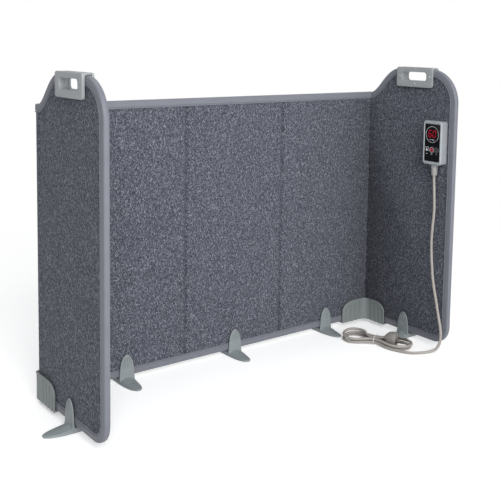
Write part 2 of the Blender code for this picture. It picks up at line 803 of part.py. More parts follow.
front = add("controller_front_frame", slab("front frame", case_outline, frame_depth),
            case_place @ Matrix.Translation((0, 0, case_stand - frame_depth / 2)), right_wing, frame_look)
bevel(front, case_edge)
window = cutter("frame window", slab("frame window", rounded_rectangle(
    glass_width + 2 * gap, glass_height + 2 * gap, glass_corner + gap), 2 * (glass_thickness + 2 * gap)),
    case_place @ Matrix.Translation((0, 0, case_stand)))
inner_window = cutter("frame inner window", slab("frame inner window", rounded_rectangle(
    glass_width - display_margin, glass_height - display_margin, glass_corner), frame_depth + overrun),
    case_place @ Matrix.Translation((0, 0, case_stand - frame_depth / 2)))
cut(front, window)
cut(front, inner_window)
add("controller_glass", slab("glass", rounded_rectangle(glass_width, glass_height, glass_corner), glass_thickness),
    case_place @ Matrix.Translation((0, 0, glass_back + glass_thickness / 2)), right_wing, glass_look)

# Strain relief below the case, with rings round it
relief_top_z = case_bottom_z - gap
ring_steps = 5
relief_profile = [(0, 0), (relief_end_radius, 0)]
for i in range(ring_steps):
    low = i / ring_steps
    radius = relief_end_radius + (relief_radius - relief_end_radius) * (low + 0.5 / ring_steps)
    relief_profile.append((radius, relief_length * (low + 0.25 / ring_steps)))
    relief_profile.append((radius, relief_length * (low + 0.65 / ring_steps)))
    relief_profile.append((radius - relief_rib, relief_length * (low + 0.8 / ring_steps)))
relief_profile += [(relief_radius, relief_length), (0, relief_length)]
relief_x = x_inner + edging_thickness - relief_stand
relief_y = y_inner - case_centre_s
add("strain_relief", turned("strain relief", relief_profile, 12),
    Matrix.Translation((relief_x, relief_y, relief_top_z - relief_length)), right_wing, cord_look)


def smooth_route(knots, spacing):
    """Points a spacing apart on a centripetal curve through the knots."""
    knots = [Vector(k) for k in knots]
    padded = [2 * knots[0] - knots[1]] + knots + [2 * knots[-1] - knots[-2]]
    dense = []
    for a, b, c, d in zip(padded, padded[1:], padded[2:], padded[3:]):
        t1 = (b - a).length ** 0.5
        t2 = t1 + (c - b).length ** 0.5
        t3 = t2 + (d - c).length ** 0.5
        for i in range(20):
            t = t1 + (t2 - t1) * i / 20
            a1 = a * ((t1 - t) / t1) + b * (t / t1)
            a2 = b * ((t2 - t) / (t2 - t1)) + c * ((t - t1) / (t2 - t1))
            a3 = c * ((t3 - t) / (t3 - t2)) + d * ((t - t2) / (t3 - t2))
            b1 = a1 * ((t2 - t) / t2) + a2 * (t / t2)
            b2 = a2 * ((t3 - t) / (t3 - t1)) + a3 * ((t - t1) / (t3 - t1))
            dense.append(b1 * ((t2 - t) / (t2 - t1)) + b2 * ((t - t1) / (t2 - t1)))
    dense.append(knots[-1])
    total = sum((two - one).length for one, two in zip(dense, dense[1:]))
    count = max(2, round(total / spacing))
    route = [dense[0]]
    walked = 0.0
    for one, two in zip(dense, dense[1:]):
        step = (two - one).length
        while len(route) < count and walked + step >= len(route) * total / count:
            share = (len(route) * total / count - walked) / step
            route.append(one.lerp(two, share))
        walked += step
    route.append(dense[-1])
    return route


# The hank lies on the floor: it spirals in on the floor, climbs at the inside and spirals out on top
hank_middle = Vector((hank_centre_x, y_inner - hank_centre_s, cord_diameter / 2))
hank_place = Matrix.Translation(hank_middle) @ Matrix.Rotation(math.radians(hank_turn), 4, "Z")
hank_half = hank_length / 2
waist_x = hank_half * (2 * hank_waist_share - 1)
layer_turns = math.pi * hank_loops
tie_lift = 2 * tie_radius + 3 * gap


def hank_point(turn):
    """A place on the hank's tube in the hank's own axes, turn in radians from its start."""
    if turn <= layer_turns:
        rank = (layer_turns - turn) / (2 * math.pi)
        lift = 0.0
    else:
        rank = (turn - layer_turns) / (2 * math.pi)
        lean = 1 - min(1.0, (turn - layer_turns) / math.pi)
        lift = hank_layer * math.sqrt(1 - lean * lean)
    angle = turn + hank_start
    outer_rank = layer_turns / (2 * math.pi)
    half = hank_half - (outer_rank - rank) * hank_pitch
    along = half * math.cos(angle)
    reach = abs(along - waist_x) / (half + abs(waist_x))
    lobe = math.sin(math.pi / 2 * min(1.0, reach / hank_open_share)) ** 2
    width = cord_diameter / 2 + gap + hank_pitch * rank + hank_open_width * lobe
    from_end = min(1.0, (half - abs(along)) / width)
    closing = math.sqrt(1 - (1 - from_end) ** 2)
    near_waist = max(0.0, 1 - abs(along - waist_x) / (hank_half * 0.7))
    raised = lift + tie_lift * near_waist * near_waist * (3 - 2 * near_waist)
    return Vector((along, -width * math.copysign(closing, math.sin(angle)), raised))


hank_start = math.radians(hank_start_turn)
hank_total = round(hank_loops * hank_points_per_loop)
hank_local = [hank_point(2 * math.pi * i / hank_points_per_loop) for i in range(hank_total + 1)]
hank_local.insert(1, hank_point(math.pi / hank_points_per_loop / 2))
plug_lift = plug_radius - cord_diameter / 2
neck_x = waist_x + plug_clear_of_tie
tail_y = -hank_pitch / 4


def tail_route(spacing):
    """From the last turn round the end, over the inner strands to the waist's middle and the plug's neck."""
    last_turn = 2 * math.pi * hank_total / hank_points_per_loop
    start = hank_point(last_turn)
    along = start - hank_point(last_turn - math.radians(1))
    heading = math.atan2(along.y, along.x) % (2 * math.pi)
    centre_x = start.x + tail_bend * math.sin(heading)
    centre_y = start.y - tail_bend * math.cos(heading)
    back = math.acos((tail_y - centre_y + tail_bend) / (2 * tail_bend))
    places = []
    count = round(tail_bend * (heading + back) / spacing)
    for i in range(1, count + 1):
        angle = heading - (heading + back) * i / count
        places.append((centre_x - tail_bend * math.sin(angle), centre_y + tail_bend * math.cos(angle)))
    next_x = centre_x + 2 * tail_bend * math.sin(back)
    next_y = centre_y + 2 * tail_bend * math.cos(back)
    count = round(tail_bend * back / spacing)
    for i in range(1, count + 1):
        angle = -back + back * i / count
        places.append((next_x + tail_bend * math.sin(angle), next_y - tail_bend * math.cos(angle)))
    count = round((neck_x - gap - places[-1][0]) / spacing)
    first_x = places[-1][0]
    places += [(first_x + (neck_x - gap - first_x) * i / count, tail_y) for i in range(1, count + 1)]
    walked = [0.0]
    for one, two in zip([(start.x, start.y)] + places, places):
        walked.append(walked[-1] + math.dist(one, two))
    route = []
    for place, way in zip(places, walked[1:]):
        share = way / walked[-1]
        height = start.z
        for (from_share, _), (to_share, level) in zip(tail_climb, tail_climb[1:]):
            t = max(0.0, min(1.0, (share - from_share) / (to_share - from_share)))
            height += (level - height) * t * t * (3 - 2 * t)
        route.append(Vector((*place, height)))
    return route


# The tail's heights against shares of its way: over the inner strand, down at the tie, up to the plug
over_strand = hank_layer + cord_diameter + 4 * gap
at_tie = hank_layer + tie_lift
tail_climb = ((0.06, None), (0.44, over_strand), (0.60, over_strand), (0.84, at_tie), (0.86, at_tie), (0.99, plug_lift))
hank_local += tail_route(cord_diameter * 0.9)
hank_points = [hank_place @ p for p in hank_local]


def least_gap(points, skip):
    """The least gap between stretches of the tube that aren't neighbours along it."""
    fine = [one.lerp(two, i / 4) for one, two in zip(points, points[1:]) for i in range(4)]
    pairs = ((i, j) for i in range(len(fine)) for j in range(i + skip * 4, len(fine)))
    return min((fine[i] - fine[j]).length for i, j in pairs) - cord_diameter


print("least gap in the hank, mm:", round(least_gap(hank_points, 4) * 1000, 2))
add("cord_hank", tube("hank", hank_points, cord_diameter / 2, 1), Matrix(), right_wing, cord_look)

# Supply cord: down the wing's inner face, over the floor and along the hank to its start
relief_low = relief_top_z - relief_length
first = hank_place @ hank_local[0]
second = hank_place @ hank_local[1]
entry = (first - second).normalized()
cord_knots = [
    (relief_x, y_inner - case_centre_s, relief_low - gap),
    (relief_x, y_inner - case_centre_s, relief_low - gap - cord_diameter),
]
# Stand from the wing's inner face, place beyond the controller's middle, height
fall = (
    (0.0101, 0.0043, 0.2928), (0.0101, 0.0060, 0.2565), (0.0101, 0.0040, 0.2290), (0.0101, 0.0024, 0.1990),
    (0.0101, 0.0053, 0.1575), (0.0101, 0.0096, 0.1260), (0.0101, 0.0166, 0.0980), (0.0107, 0.0242, 0.0700),
    (0.0117, 0.0315, 0.0450), (0.0124, 0.0338, 0.0290), (0.0150, 0.0331, 0.0152), (0.0205, 0.0303, 0.0070),
)
cord_knots += [(x_inner - stand, y_inner - case_centre_s - beyond, z) for stand, beyond, z in fall]
# Over the floor and along the hank's outer side, in the hank's own axes
beside = (
    (0.0970, -0.0070, 0.0002), (0.0850, -0.0184, 0.0002), (0.0735, -0.0256, 0.0002), (0.0600, -0.0278, 0.0002),
    (0.0480, -0.0274, 0.0002), (0.0370, -0.0258, 0.0003), (0.0220, -0.0208, 0.0006), (0.0120, -0.0152, 0.0014),
    (0.0050, -0.0113, 0.0019),
)
cord_knots = [Vector(knot) for knot in cord_knots] + [hank_place @ Vector(knot) for knot in beside]
cord_knots += [first + entry * (gap + cord_diameter), first + entry * gap]
cord_route = smooth_route(cord_knots, 2.2 * cord_diameter)
cord_route.insert(1, cord_knots[1])
cord_route.insert(-1, cord_knots[-2])
add("supply_cord", tube("supply cord", cord_route, cord_diameter / 2, 2), Matrix(), right_wing, cord_look)
cord_length = sum((two - one).length for one, two in zip(cord_route, cord_route[1:]))
hank_cord = sum((two - one).length for one, two in zip(hank_points, hank_points[1:]))
print("cord length, m:", round(cord_length + hank_cord, 3))

# Wire tie round the hank's waist, in the plane across it
tied = [p for route in (hank_local, [hank_place.inverted() @ p for p in cord_route])
        for one, two in zip(route, route[1:]) for p in (one.lerp(two, i / 8) for i in range(8))]
near_tie = [p for p in tied if abs(p.x - waist_x) < cord_diameter / 2]
tie_side = cord_diameter / 2 + gap + tie_radius
tie_marks = [(p.y + a, p.z + b) for p in near_tie for a, b in arc(0, 0, tie_side, 0, 330, 11)]


def stretched_round(marks):
    """The closed line pulled tight round the marks."""
    halves = []
    for ordered in (sorted(marks), sorted(marks, reverse=True)):
        half = []
        for x, y in ordered:
            while len(half) > 1:
                (ax, ay), (bx, by) = half[-2:]
                if (bx - ax) * (y - ay) - (by - ay) * (x - ax) > 0:
                    break
                half.pop()
            half.append((x, y))
        halves += half[:-1]
    return halves


# Marks closer together than the wire is thick are one
tie_outline = []
for mark in stretched_round(tie_marks):
    if not tie_outline or math.dist(mark, tie_outline[-1]) > 2 * tie_radius:
        tie_outline.append(mark)
tie_curve = poly_curve("tie", [(waist_x, a, b) for a, b in tie_outline], True, "3D")
tie_curve.bevel_depth = tie_radius
tie_curve.bevel_resolution = 1
add("cord_tie", curve_mesh(tie_curve), hank_place, right_wing, tie_look)

# Plug on the hank, its pins along the hank
grip_steps = 4
plug_profile = [(0, 0), (plug_neck_radius, 0)]
for i in range(grip_steps):
    low = plug_ring_start_share + plug_ring_pitch_share * i
    swell = plug_neck_radius + (plug_radius - plug_neck_radius) * math.sin(math.pi / 2 * (i + 1) / grip_steps)
    plug_profile.append((swell - relief_rib, plug_length * low))
    plug_profile.append((swell, plug_length * low + relief_rib))
    plug_profile.append((swell, plug_length * (low + plug_ring_share)))
plug_profile += [(plug_radius, plug_length * plug_face_share), (plug_radius, plug_length), (0, plug_length)]
plug_turn = Matrix.Rotation(math.radians(90), 4, "Y")
plug_place = hank_place @ Matrix.Translation((neck_x, tail_y, plug_lift)) @ plug_turn
plug = add("plug_body", turned("plug", plug_profile, 14), plug_place, right_wing, plug_look)
pin_depth = plug_length / 4
pin_nose = pin_radius / 2
pin_profile = [(0, 0), (pin_radius, 0), (pin_radius, pin_length + pin_depth - pin_nose),
               (pin_radius - pin_nose, pin_length + pin_depth), (0, pin_length + pin_depth)]
socket_profile = [(0, -gap), (pin_radius + gap, -gap), (pin_radius + gap, pin_length), (0, pin_length)]
for number, aside in enumerate((-1, 1), 1):
    # The pins stand across the plug, level with the floor
    place = plug_place @ Matrix.Translation((0, aside * pin_spacing / 2, plug_length - pin_depth))
    socket = cutter(f"plug socket {number}", turned("socket", socket_profile, 8), place)
    cut(plug, socket)
    add(f"plug_pin_{number}", turned("pin", pin_profile, 8), place, right_wing, pin_look)
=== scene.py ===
"""Looks of the under desk heater panel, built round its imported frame.

Five felt panels in a folded edging stand on clip-on feet. Lengths are in metres,
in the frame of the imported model: x along the wall, y to its back, z up.
"""
import json
from math import acos, atan2, copysign, cos, degrees, dist, exp, pi, radians, sin, sqrt, tau

import bmesh
import bpy
from mathutils import Matrix, Vector

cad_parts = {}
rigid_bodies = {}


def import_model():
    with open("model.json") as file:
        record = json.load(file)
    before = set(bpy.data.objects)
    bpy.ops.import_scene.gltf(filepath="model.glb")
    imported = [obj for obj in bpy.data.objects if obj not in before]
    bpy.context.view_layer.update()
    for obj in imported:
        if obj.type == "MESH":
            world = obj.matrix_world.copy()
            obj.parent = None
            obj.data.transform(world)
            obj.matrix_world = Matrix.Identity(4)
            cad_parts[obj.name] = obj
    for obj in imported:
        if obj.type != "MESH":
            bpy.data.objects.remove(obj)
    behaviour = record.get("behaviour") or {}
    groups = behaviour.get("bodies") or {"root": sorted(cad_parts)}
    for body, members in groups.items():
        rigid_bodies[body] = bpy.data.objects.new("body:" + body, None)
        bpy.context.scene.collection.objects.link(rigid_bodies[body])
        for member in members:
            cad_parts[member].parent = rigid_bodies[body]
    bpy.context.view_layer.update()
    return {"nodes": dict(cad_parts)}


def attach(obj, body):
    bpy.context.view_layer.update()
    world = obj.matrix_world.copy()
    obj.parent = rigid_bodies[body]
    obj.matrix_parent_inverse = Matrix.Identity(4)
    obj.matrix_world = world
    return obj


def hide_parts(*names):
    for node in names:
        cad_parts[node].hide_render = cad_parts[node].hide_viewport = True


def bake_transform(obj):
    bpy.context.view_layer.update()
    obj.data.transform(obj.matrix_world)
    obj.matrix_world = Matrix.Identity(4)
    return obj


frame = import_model()

SIDES = {"left": -1, "right": 1}

# The panel's sizes, as the frame has them
HALF_WIDTH = 0.3387
PANEL = 0.0093
WING_WIDTH = 0.2095
FOOT_REACH = 0.043
INNER_Y = (WING_WIDTH - (PANEL + FOOT_REACH)) / 2
MIDDLE_Y = INNER_Y + PANEL / 2
BOTTOM_Z = 0.01
WALL_TOP_Z = 0.46
WING_TOP_Z = 0.509
CREASES = {"left": -0.0872, "right": 0.1188}
FELT = 0.0015
EDGING = 0.0012
EDGING_WIDTH = 0.013
GAP = 0.0003
FELT_DEPTH = EDGING + GAP
FELT_LEVELS = {"inner": FELT_DEPTH, "outer": PANEL - FELT_DEPTH - FELT}


# Objects and shader nodes
def stand(name, data):
    """A new object in the scene."""
    made = bpy.data.objects.new(name, data)
    bpy.context.scene.collection.objects.link(made)
    return made


def mesh_of(name, work):
    mesh = bpy.data.meshes.new(name)
    work.to_mesh(mesh)
    work.free()
    return mesh


def feed(node, inputs):
    """Sets a node's inputs to values, or links them to other nodes' outputs."""
    for key, value in inputs.items():
        if isinstance(value, bpy.types.NodeSocket):
            node.id_data.links.new(value, node.inputs[key])
        else:
            node.inputs[key].default_value = value


def add(tree, kind, inputs=None, **settings):
    node = tree.nodes.new("ShaderNode" + kind)
    for name, value in settings.items():
        setattr(node, name, value)
    feed(node, inputs or {})
    return node


def noise(*values):
    """Noise by its vector, scale, detail, roughness and distortion."""
    labels = ("Vector", "Scale", "Detail", "Roughness", "Distortion")
    return add(values[0].id_data, "TexNoise", dict(zip(labels, values))).outputs["Fac"]


def remap(*values):
    """A value brought from one range to another."""
    labels = ("Value", "From Min", "From Max", "To Min", "To Max")
    return add(values[0].id_data, "MapRange", dict(zip(labels, values))).outputs["Result"]


def blend_colours(share, one, two):
    return add(share.id_data, "Mix", {0: share, 6: one, 7: two}, data_type="RGBA").outputs[2]


def calculate(operation, one, two):
    return add(one.id_data, "Math", {0: one, 1: two}, operation=operation).outputs[0]


def scaled(vector, factor):
    return add(factor.id_data, "VectorMath", {0: vector, "Scale": factor}, operation="SCALE").outputs[0]


# Camera, floor and light
def set_camera():
    azimuth, pitch, roll = (radians(angle) for angle in (-37.041, 6.0, 0.811))
    level = cos(pitch)
    look = Vector((-sin(azimuth) * level, cos(azimuth) * level, -sin(pitch)))
    right = Vector((cos(azimuth), sin(azimuth), 0))
    up = right.cross(look)
    turned_right = right * cos(roll) + up * sin(roll)
    turned_up = up * cos(roll) - right * sin(roll)
    camera = stand("camera", bpy.data.cameras.new("camera"))
    camera.matrix_world = frame_of(turned_right, turned_up, -look, (-0.856, INNER_Y - 1.193, 0.56))
    camera.data.sensor_width = 36
    camera.data.lens = 857.631 / 500 * 36
    camera.data.shift_y = -0.2428
    camera.data.clip_start = 0.05
    bpy.context.scene.camera = camera


def set_stage():
    scene = bpy.context.scene
    scene.view_settings.view_transform = "Standard"
    world = scene.world = bpy.data.worlds.new("studio")
    world.use_nodes = True
    tree = world.node_tree
    tree.nodes.clear()
    lit = add(tree, "Background", {"Color": (0.97, 0.985, 1.0, 1), "Strength": 0.5})
    seen = add(tree, "Background", {"Color": (1, 1, 1, 1)})
    camera_ray = add(tree, "LightPath").outputs["Is Camera Ray"]
    mix = add(tree, "MixShader", {"Fac": camera_ray, 1: lit.outputs[0], 2: seen.outputs[0]})
    add(tree, "OutputWorld", {"Surface": mix.outputs[0]})

    work = bmesh.new()
    bmesh.ops.create_grid(work, x_segments=1, y_segments=1, size=6)
    floor = stand("floor", mesh_of("floor", work))
    look = bpy.data.materials.new("studio floor")
    look.use_nodes = True
    tree = look.node_tree
    tree.nodes.clear()
    camera_ray = add(tree, "LightPath").outputs["Is Camera Ray"]
    paper = add(tree, "BsdfDiffuse", {"Color": (0.86, 0.86, 0.86, 1)})
    glow = add(tree, "Emission", {"Strength": calculate("MULTIPLY", camera_ray, 0.3)})
    total = add(tree, "AddShader", {0: paper.outputs[0], 1: glow.outputs[0]})
    # The far floor fades into the white behind it
    away = add(tree, "VectorMath", {0: add(tree, "TexCoord").outputs["Object"]}, operation="LENGTH")
    fade = add(tree, "MapRange", {"Value": away.outputs["Value"], "From Min": 0.55, "From Max": 1.5},
               interpolation_type="SMOOTHSTEP")
    faded = calculate("MULTIPLY", fade.outputs["Result"], camera_ray)
    far = add(tree, "MixShader", {"Fac": faded, 1: total.outputs[0], 2: add(tree, "Emission").outputs[0]})
    add(tree, "OutputMaterial", {"Surface": far.outputs[0]})
    floor.data.materials.append(look)

    aim = Vector((0, 0, 0.2))
    for name, place, size, power in (
        ("key", (-1.0, -2.4, 1.8), 1.6, 66),
        ("fill", (0.2, -2.7, 0.8), 2.0, 30),
        ("top", (0.2, 0.6, 2.6), 2.0, 14),
    ):
        lamp = stand(name, bpy.data.lights.new(name, "AREA"))
        lamp.data.size = size
        lamp.data.energy = power
        lamp.location = place
        lamp.rotation_euler = (aim - Vector(place)).to_track_quat("-Z", "Y").to_euler()


# Shader groups
def group(name, inputs, outputs):
    """An empty node group, each of its inputs of the kind of its first value."""
    tree = bpy.data.node_groups.new(name, "ShaderNodeTree")
    for label, value in inputs.items():
        kind = {3: "Vector", 4: "Color"}[len(value)] if isinstance(value, tuple) else "Float"
        socket = tree.interface.new_socket(label, in_out="INPUT", socket_type="NodeSocket" + kind)
        socket.default_value = value
    for label, kind in outputs.items():
        tree.interface.new_socket(label, in_out="OUTPUT", socket_type="NodeSocket" + kind)
    return tree, tree.nodes.new("NodeGroupInput").outputs, tree.nodes.new("NodeGroupOutput")


def make_felt_group():
    """Pressed felt of light and dark fibres, with painted shade along the wall's two creases: colour and
    height.
    """
    black = (0, 0, 0, 1)
    tree, source, sink = group(
        "heathered felt", {"Vector": (0, 0, 0), "Dark": black, "Mid": black, "Light": black},
        {"Color": "Color", "Height": "Float"})
    # Sheet coordinates: along the wall or the wing, and up
    along = add(tree, "VectorMath", {0: source["Vector"], 1: (1, 1, 0)}, operation="DOT_PRODUCT")
    split = add(tree, "SeparateXYZ", {0: source["Vector"]}).outputs
    sheet = add(tree, "CombineXYZ", {"X": along.outputs["Value"], "Z": split["Z"]}).outputs[0]

    def flecks(*layers):
        """The strongest of some layers of thin long flecks, each at its angle in the sheet's plane."""
        strongest = 0.0
        for turn, shift in layers:
            inputs = {"Vector": sheet, "Location": (shift, shift, 0), "Rotation": (0, turn, 0),
                      "Scale": (1 / 250, 1, 1 / 1150)}
            turned_sheet = add(tree, "Mapping", inputs, vector_type="TEXTURE").outputs[0]
            layer = noise(turned_sheet, 1.0, 1, 0.5, 0.3)
            strongest = calculate("MAXIMUM", layer, strongest)
        return strongest

    pale = flecks((0.35, 0.0), (2.05, 0.7), (1.35, 1.6))
    deep = flecks((0.95, 2.3), (2.75, 3.1))
    clumps = remap(noise(source["Vector"], 300, 3, 0.6), 0.38, 0.62, 0.25, 1.0)
    tint = blend_colours(clumps, source["Dark"], source["Mid"])
    tint = blend_colours(remap(deep, 0.55, 0.65, 0.0, 0.8), tint, source["Dark"])
    tint = blend_colours(remap(pale, 0.61, 0.71, 0.0, 0.8), tint, source["Light"])
    # Painted shade along the wall's two creases: the colour goes towards Dark within 6 mm of each crease
    # line, standing in for the shade of the valleys
    for crease in CREASES.values():
        aside = calculate("ABSOLUTE", calculate("SUBTRACT", split["X"], crease), 0.0)
        tint = blend_colours(remap(aside, 0.0, 0.006, 0.42, 0.0), tint, source["Dark"])
    height = calculate("ADD", calculate("MULTIPLY", deep, -0.6), pale)
    feed(sink, {"Color": tint, "Height": height})
    return tree


def make_moulded_group():
    """Spark texture of moulded plastic with faint handling marks: colour, roughness and height."""
    tree, source, sink = group(
        "moulded surface",
        {"Vector": (0, 0, 0), "Color": (0, 0, 0, 1), "Grain Size": 1400.0, "Roughness": 0.5, "Mottle": 0.1},
        {"Color": "Color", "Roughness": "Float", "Height": "Float"})
    cloud = noise(source["Vector"], 38, 4, 0.6)
    shade = calculate("MULTIPLY", remap(cloud, 0.3, 0.7, -0.5, 0.5), source["Mottle"])
    handled = remap(cloud, 0.35, 0.65, -0.08, 0.08)
    feed(sink, {
        "Color": scaled(source["Color"], calculate("ADD", shade, 1.0)),
        "Roughness": calculate("ADD", source["Roughness"], handled),
        "Height": noise(source["Vector"], source["Grain Size"], 2, 0.5)})
    return tree


FELT_GROUP = make_felt_group()
MOULDED_GROUP = make_moulded_group()


# Looks
def start_material(name):
    made = bpy.data.materials.new(name)
    made.use_nodes = True
    tree = made.node_tree
    return made, tree, tree.nodes["Principled BSDF"], add(tree, "TexCoord").outputs["Object"]


def material(name, shared, values, strength, distance, settings):
    """A material whose colour, height and any roughness come from a shared group."""
    made, tree, shader, where = start_material(name)
    source = add(tree, "Group", {"Vector": where, **values}, node_tree=shared).outputs
    bump = add(tree, "Bump", {"Height": source["Height"], "Strength": strength, "Distance": distance})
    feed(shader, {"Base Color": source["Color"], "Roughness": source.get("Roughness", 1.0),
                  "Normal": bump.outputs["Normal"], **settings})
    return made


def felt(name, *colours):
    values = dict(zip(("Dark", "Mid", "Light"), map(srgb, colours)))
    return material(name, FELT_GROUP, values, 0.9, 0.0006, {
        "Roughness": 0.95, "Sheen Weight": 0.05, "Sheen Roughness": 0.6, "Specular IOR Level": 0.1})


def moulded(name, colour, roughness, grain, bump, mottle, specular=0.5, metallic=0.0):
    values = {"Color": srgb(colour), "Grain Size": grain, "Roughness": roughness, "Mottle": mottle}
    return material(name, MOULDED_GROUP, values, bump, 0.0002, {
        "Specular IOR Level": specular, "Metallic": metallic})


def glowing(name, colour, strength):
    made, tree, shader, where = start_material(name)
    tint = scaled(colour, remap(noise(where, 900, 2, 0.55), 0.2, 0.8, 0.88, 1.0))
    feed(shader, {"Base Color": tint, "Emission Color": tint, "Emission Strength": strength,
                  "Roughness": 0.3})
    return made


def srgb(levels):
    """A colour given as it looks on a screen, 0 to 255, as linear values."""
    shares = [level / 255 for level in levels]
    return (*(v / 12.92 if v <= 0.04045 else ((v + 0.055) / 1.055) ** 2.4 for v in shares), 1.0)


FELT_LOOK = felt("heathered felt", (40, 42, 51), (85, 88, 98), (150, 153, 163))
EDGING_LOOK = moulded("edging strip", (113, 115, 123), 0.38, 1100, 0.3, 0.08, specular=0.25)
HANDLE_LOOK = moulded("handle plastic", (148, 152, 154), 0.42, 1600, 0.2, 0.06)
FOOT_LOOK = moulded("foot plastic", (128, 135, 137), 0.34, 1300, 0.2, 0.08)
CLIP_LOOK = moulded("corner clip plastic", (120, 126, 126), 0.5, 1200, 0.25, 0.08)
CASE_LOOK = moulded("controller case", (138, 141, 146), 0.45, 1500, 0.2, 0.06)
BEZEL_LOOK = moulded("controller bezel", (156, 162, 164), 0.38, 1700, 0.15, 0.05)
GLASS_LOOK = moulded("black display glass", (9, 8, 9), 0.16, 300, 0.02, 0.05)
CORD_LOOK = moulded("cord sheath", (152, 147, 142), 0.5, 1800, 0.25, 0.08)
RELIEF_LOOK = moulded("strain relief", (150, 148, 147), 0.5, 1500, 0.2, 0.06)
TIE_LOOK = moulded("white tie", (225, 225, 222), 0.4, 1500, 0.1, 0.05)
PLUG_LOOK = moulded("plug", (126, 123, 120), 0.5, 1400, 0.25, 0.1)
PIN_LOOK = moulded("plug pin metal", (122, 116, 110), 0.3, 900, 0.05, 0.1, metallic=1.0)
SCREW_LOOK = moulded("screw metal", (196, 197, 200), 0.38, 900, 0.1, 0.12, metallic=0.45)
MITRE_LOOK = moulded("dark felt edge", (56, 58, 67), 0.95, 900, 0.4, 0.2, specular=0.1)
FILM_LOOK = moulded("heating film", (30, 30, 33), 0.45, 700, 0.1, 0.2)
BOARD_LOOK = moulded("core board", (176, 166, 148), 0.85, 500, 0.4, 0.15)
CIRCUIT_LOOK = moulded("circuit board", (28, 88, 50), 0.45, 800, 0.1, 0.1)
DIGIT_LOOK = glowing("red digits", (0.38, 0.004, 0.014), 0.4)
RING_LOOK = glowing("pale print", (0.62, 0.63, 0.65), 0.14)
MARK_LOOK = glowing("grey print", (0.26, 0.26, 0.27), 0.06)
DISC_LOOK = glowing("red disc", (0.3, 0.022, 0.045), 0.12)


# Outlines
def arc(centre, radius, start, end, steps):
    angles = [radians(start + (end - start) * i / steps) for i in range(steps + 1)]
    return [(centre[0] + radius * cos(a), centre[1] + radius * sin(a)) for a in angles]


def bezier(p0, p1, p2, p3, steps):
    points = []
    for i in range(steps + 1):
        t = i / steps
        weights = ((1 - t) ** 3, 3 * t * (1 - t) ** 2, 3 * t * t * (1 - t), t ** 3)
        points.append(tuple(sum(w * p[k] for w, p in zip(weights, (p0, p1, p2, p3))) for k in (0, 1)))
    return points


def rounded(width, height, radius, steps):
    points = []
    for sx, sy, start in ((1, 1, 0), (-1, 1, 90), (-1, -1, 180), (1, -1, 270)):
        centre = (sx * (width / 2 - radius), sy * (height / 2 - radius))
        points += arc(centre, radius, start, start + 90, steps)
    return points


def between(steps, x, ease=0.0):
    """The level at x on a line through (x, level) steps; ease rounds its corners."""
    for (a, one), (b, two) in zip(steps, steps[1:]):
        if x <= b:
            t = max(0.0, x - a) / (b - a)
            return one + (two - one) * (t + ease * (t * t * (3 - 2 * t) - t))
    return steps[-1][1]


def inset(points, distance):
    """An open outline moved to its left by a distance."""
    moved = []
    for i, place in enumerate(points):
        here = Vector(place)
        before, after = Vector(points[max(i - 1, 0)]), Vector(points[min(i + 1, len(points) - 1)])
        legs = [leg for leg in (here - before, after - here) if leg.length > 1e-9]
        normals = [Vector((-leg.y, leg.x)).normalized() for leg in legs]
        middle = sum(normals, Vector((0.0, 0.0))).normalized()
        moved.append(tuple(here + middle * (distance / middle.dot(normals[0]))))
    return moved


def smooth_route(knots, spacing):
    """Points a spacing apart on a centripetal curve through the knots."""
    knots = [Vector(k) for k in knots]
    padded = [2 * knots[0] - knots[1]] + knots + [2 * knots[-1] - knots[-2]]
    dense = []
    for a, b, c, d in zip(padded, padded[1:], padded[2:], padded[3:]):
        t1 = (b - a).length ** 0.5
        t2 = t1 + (c - b).length ** 0.5
        t3 = t2 + (d - c).length ** 0.5
        for i in range(20):
            t = t1 + (t2 - t1) * i / 20
            middle = b.lerp(c, (t - t1) / (t2 - t1))
            one = a.lerp(b, t / t1).lerp(middle, t / t2)
            two = middle.lerp(c.lerp(d, (t - t2) / (t3 - t2)), (t - t1) / (t3 - t1))
            dense.append(one.lerp(two, (t - t1) / (t2 - t1)))
    dense.append(knots[-1])
    total = sum((two - one).length for one, two in zip(dense, dense[1:]))
    count = max(2, round(total / spacing))
    route = [dense[0]]
    walked = 0.0
    for one, two in zip(dense, dense[1:]):
        step = (two - one).length
        while len(route) < count and walked + step >= len(route) * total / count:
            route.append(one.lerp(two, (len(route) * total / count - walked) / step))
        walked += step
    return route + [dense[-1]]


# Meshes
def ring(work, points):
    """A closed loop of edges through the points."""
    knots = [work.verts.new(p) for p in points]
    return [work.edges.new(pair) for pair in zip(knots, knots[1:] + knots[:1])]


def merge(work):
    bmesh.ops.remove_doubles(work, verts=work.verts, dist=1e-7)


def outward(work):
    bmesh.ops.recalc_face_normals(work, faces=work.faces)
    return work


def bisect(work, place, normal, **options):
    everything = work.verts[:] + work.edges[:] + work.faces[:]
    return bmesh.ops.bisect_plane(work, geom=everything, plane_co=place, plane_no=normal, **options)


def soften(work, levels, width, segments):
    """Rounds the sharp rims that lie at the given local heights."""
    rims = [e for e in work.edges if len(e.link_faces) == 2 and e.calc_face_angle(0) > radians(60)
            and any(all(abs(v.co.z - level) < 1e-6 for v in e.verts) for level in levels)]
    bmesh.ops.bevel(work, geom=rims, offset=width, segments=segments, profile=0.5, affect="EDGES",
                    material=-1, clamp_overlap=True)


def put(work, matrix):
    bmesh.ops.transform(work, matrix=matrix, verts=work.verts)
    if matrix.determinant() < 0:
        bmesh.ops.reverse_faces(work, faces=work.faces)
    return work


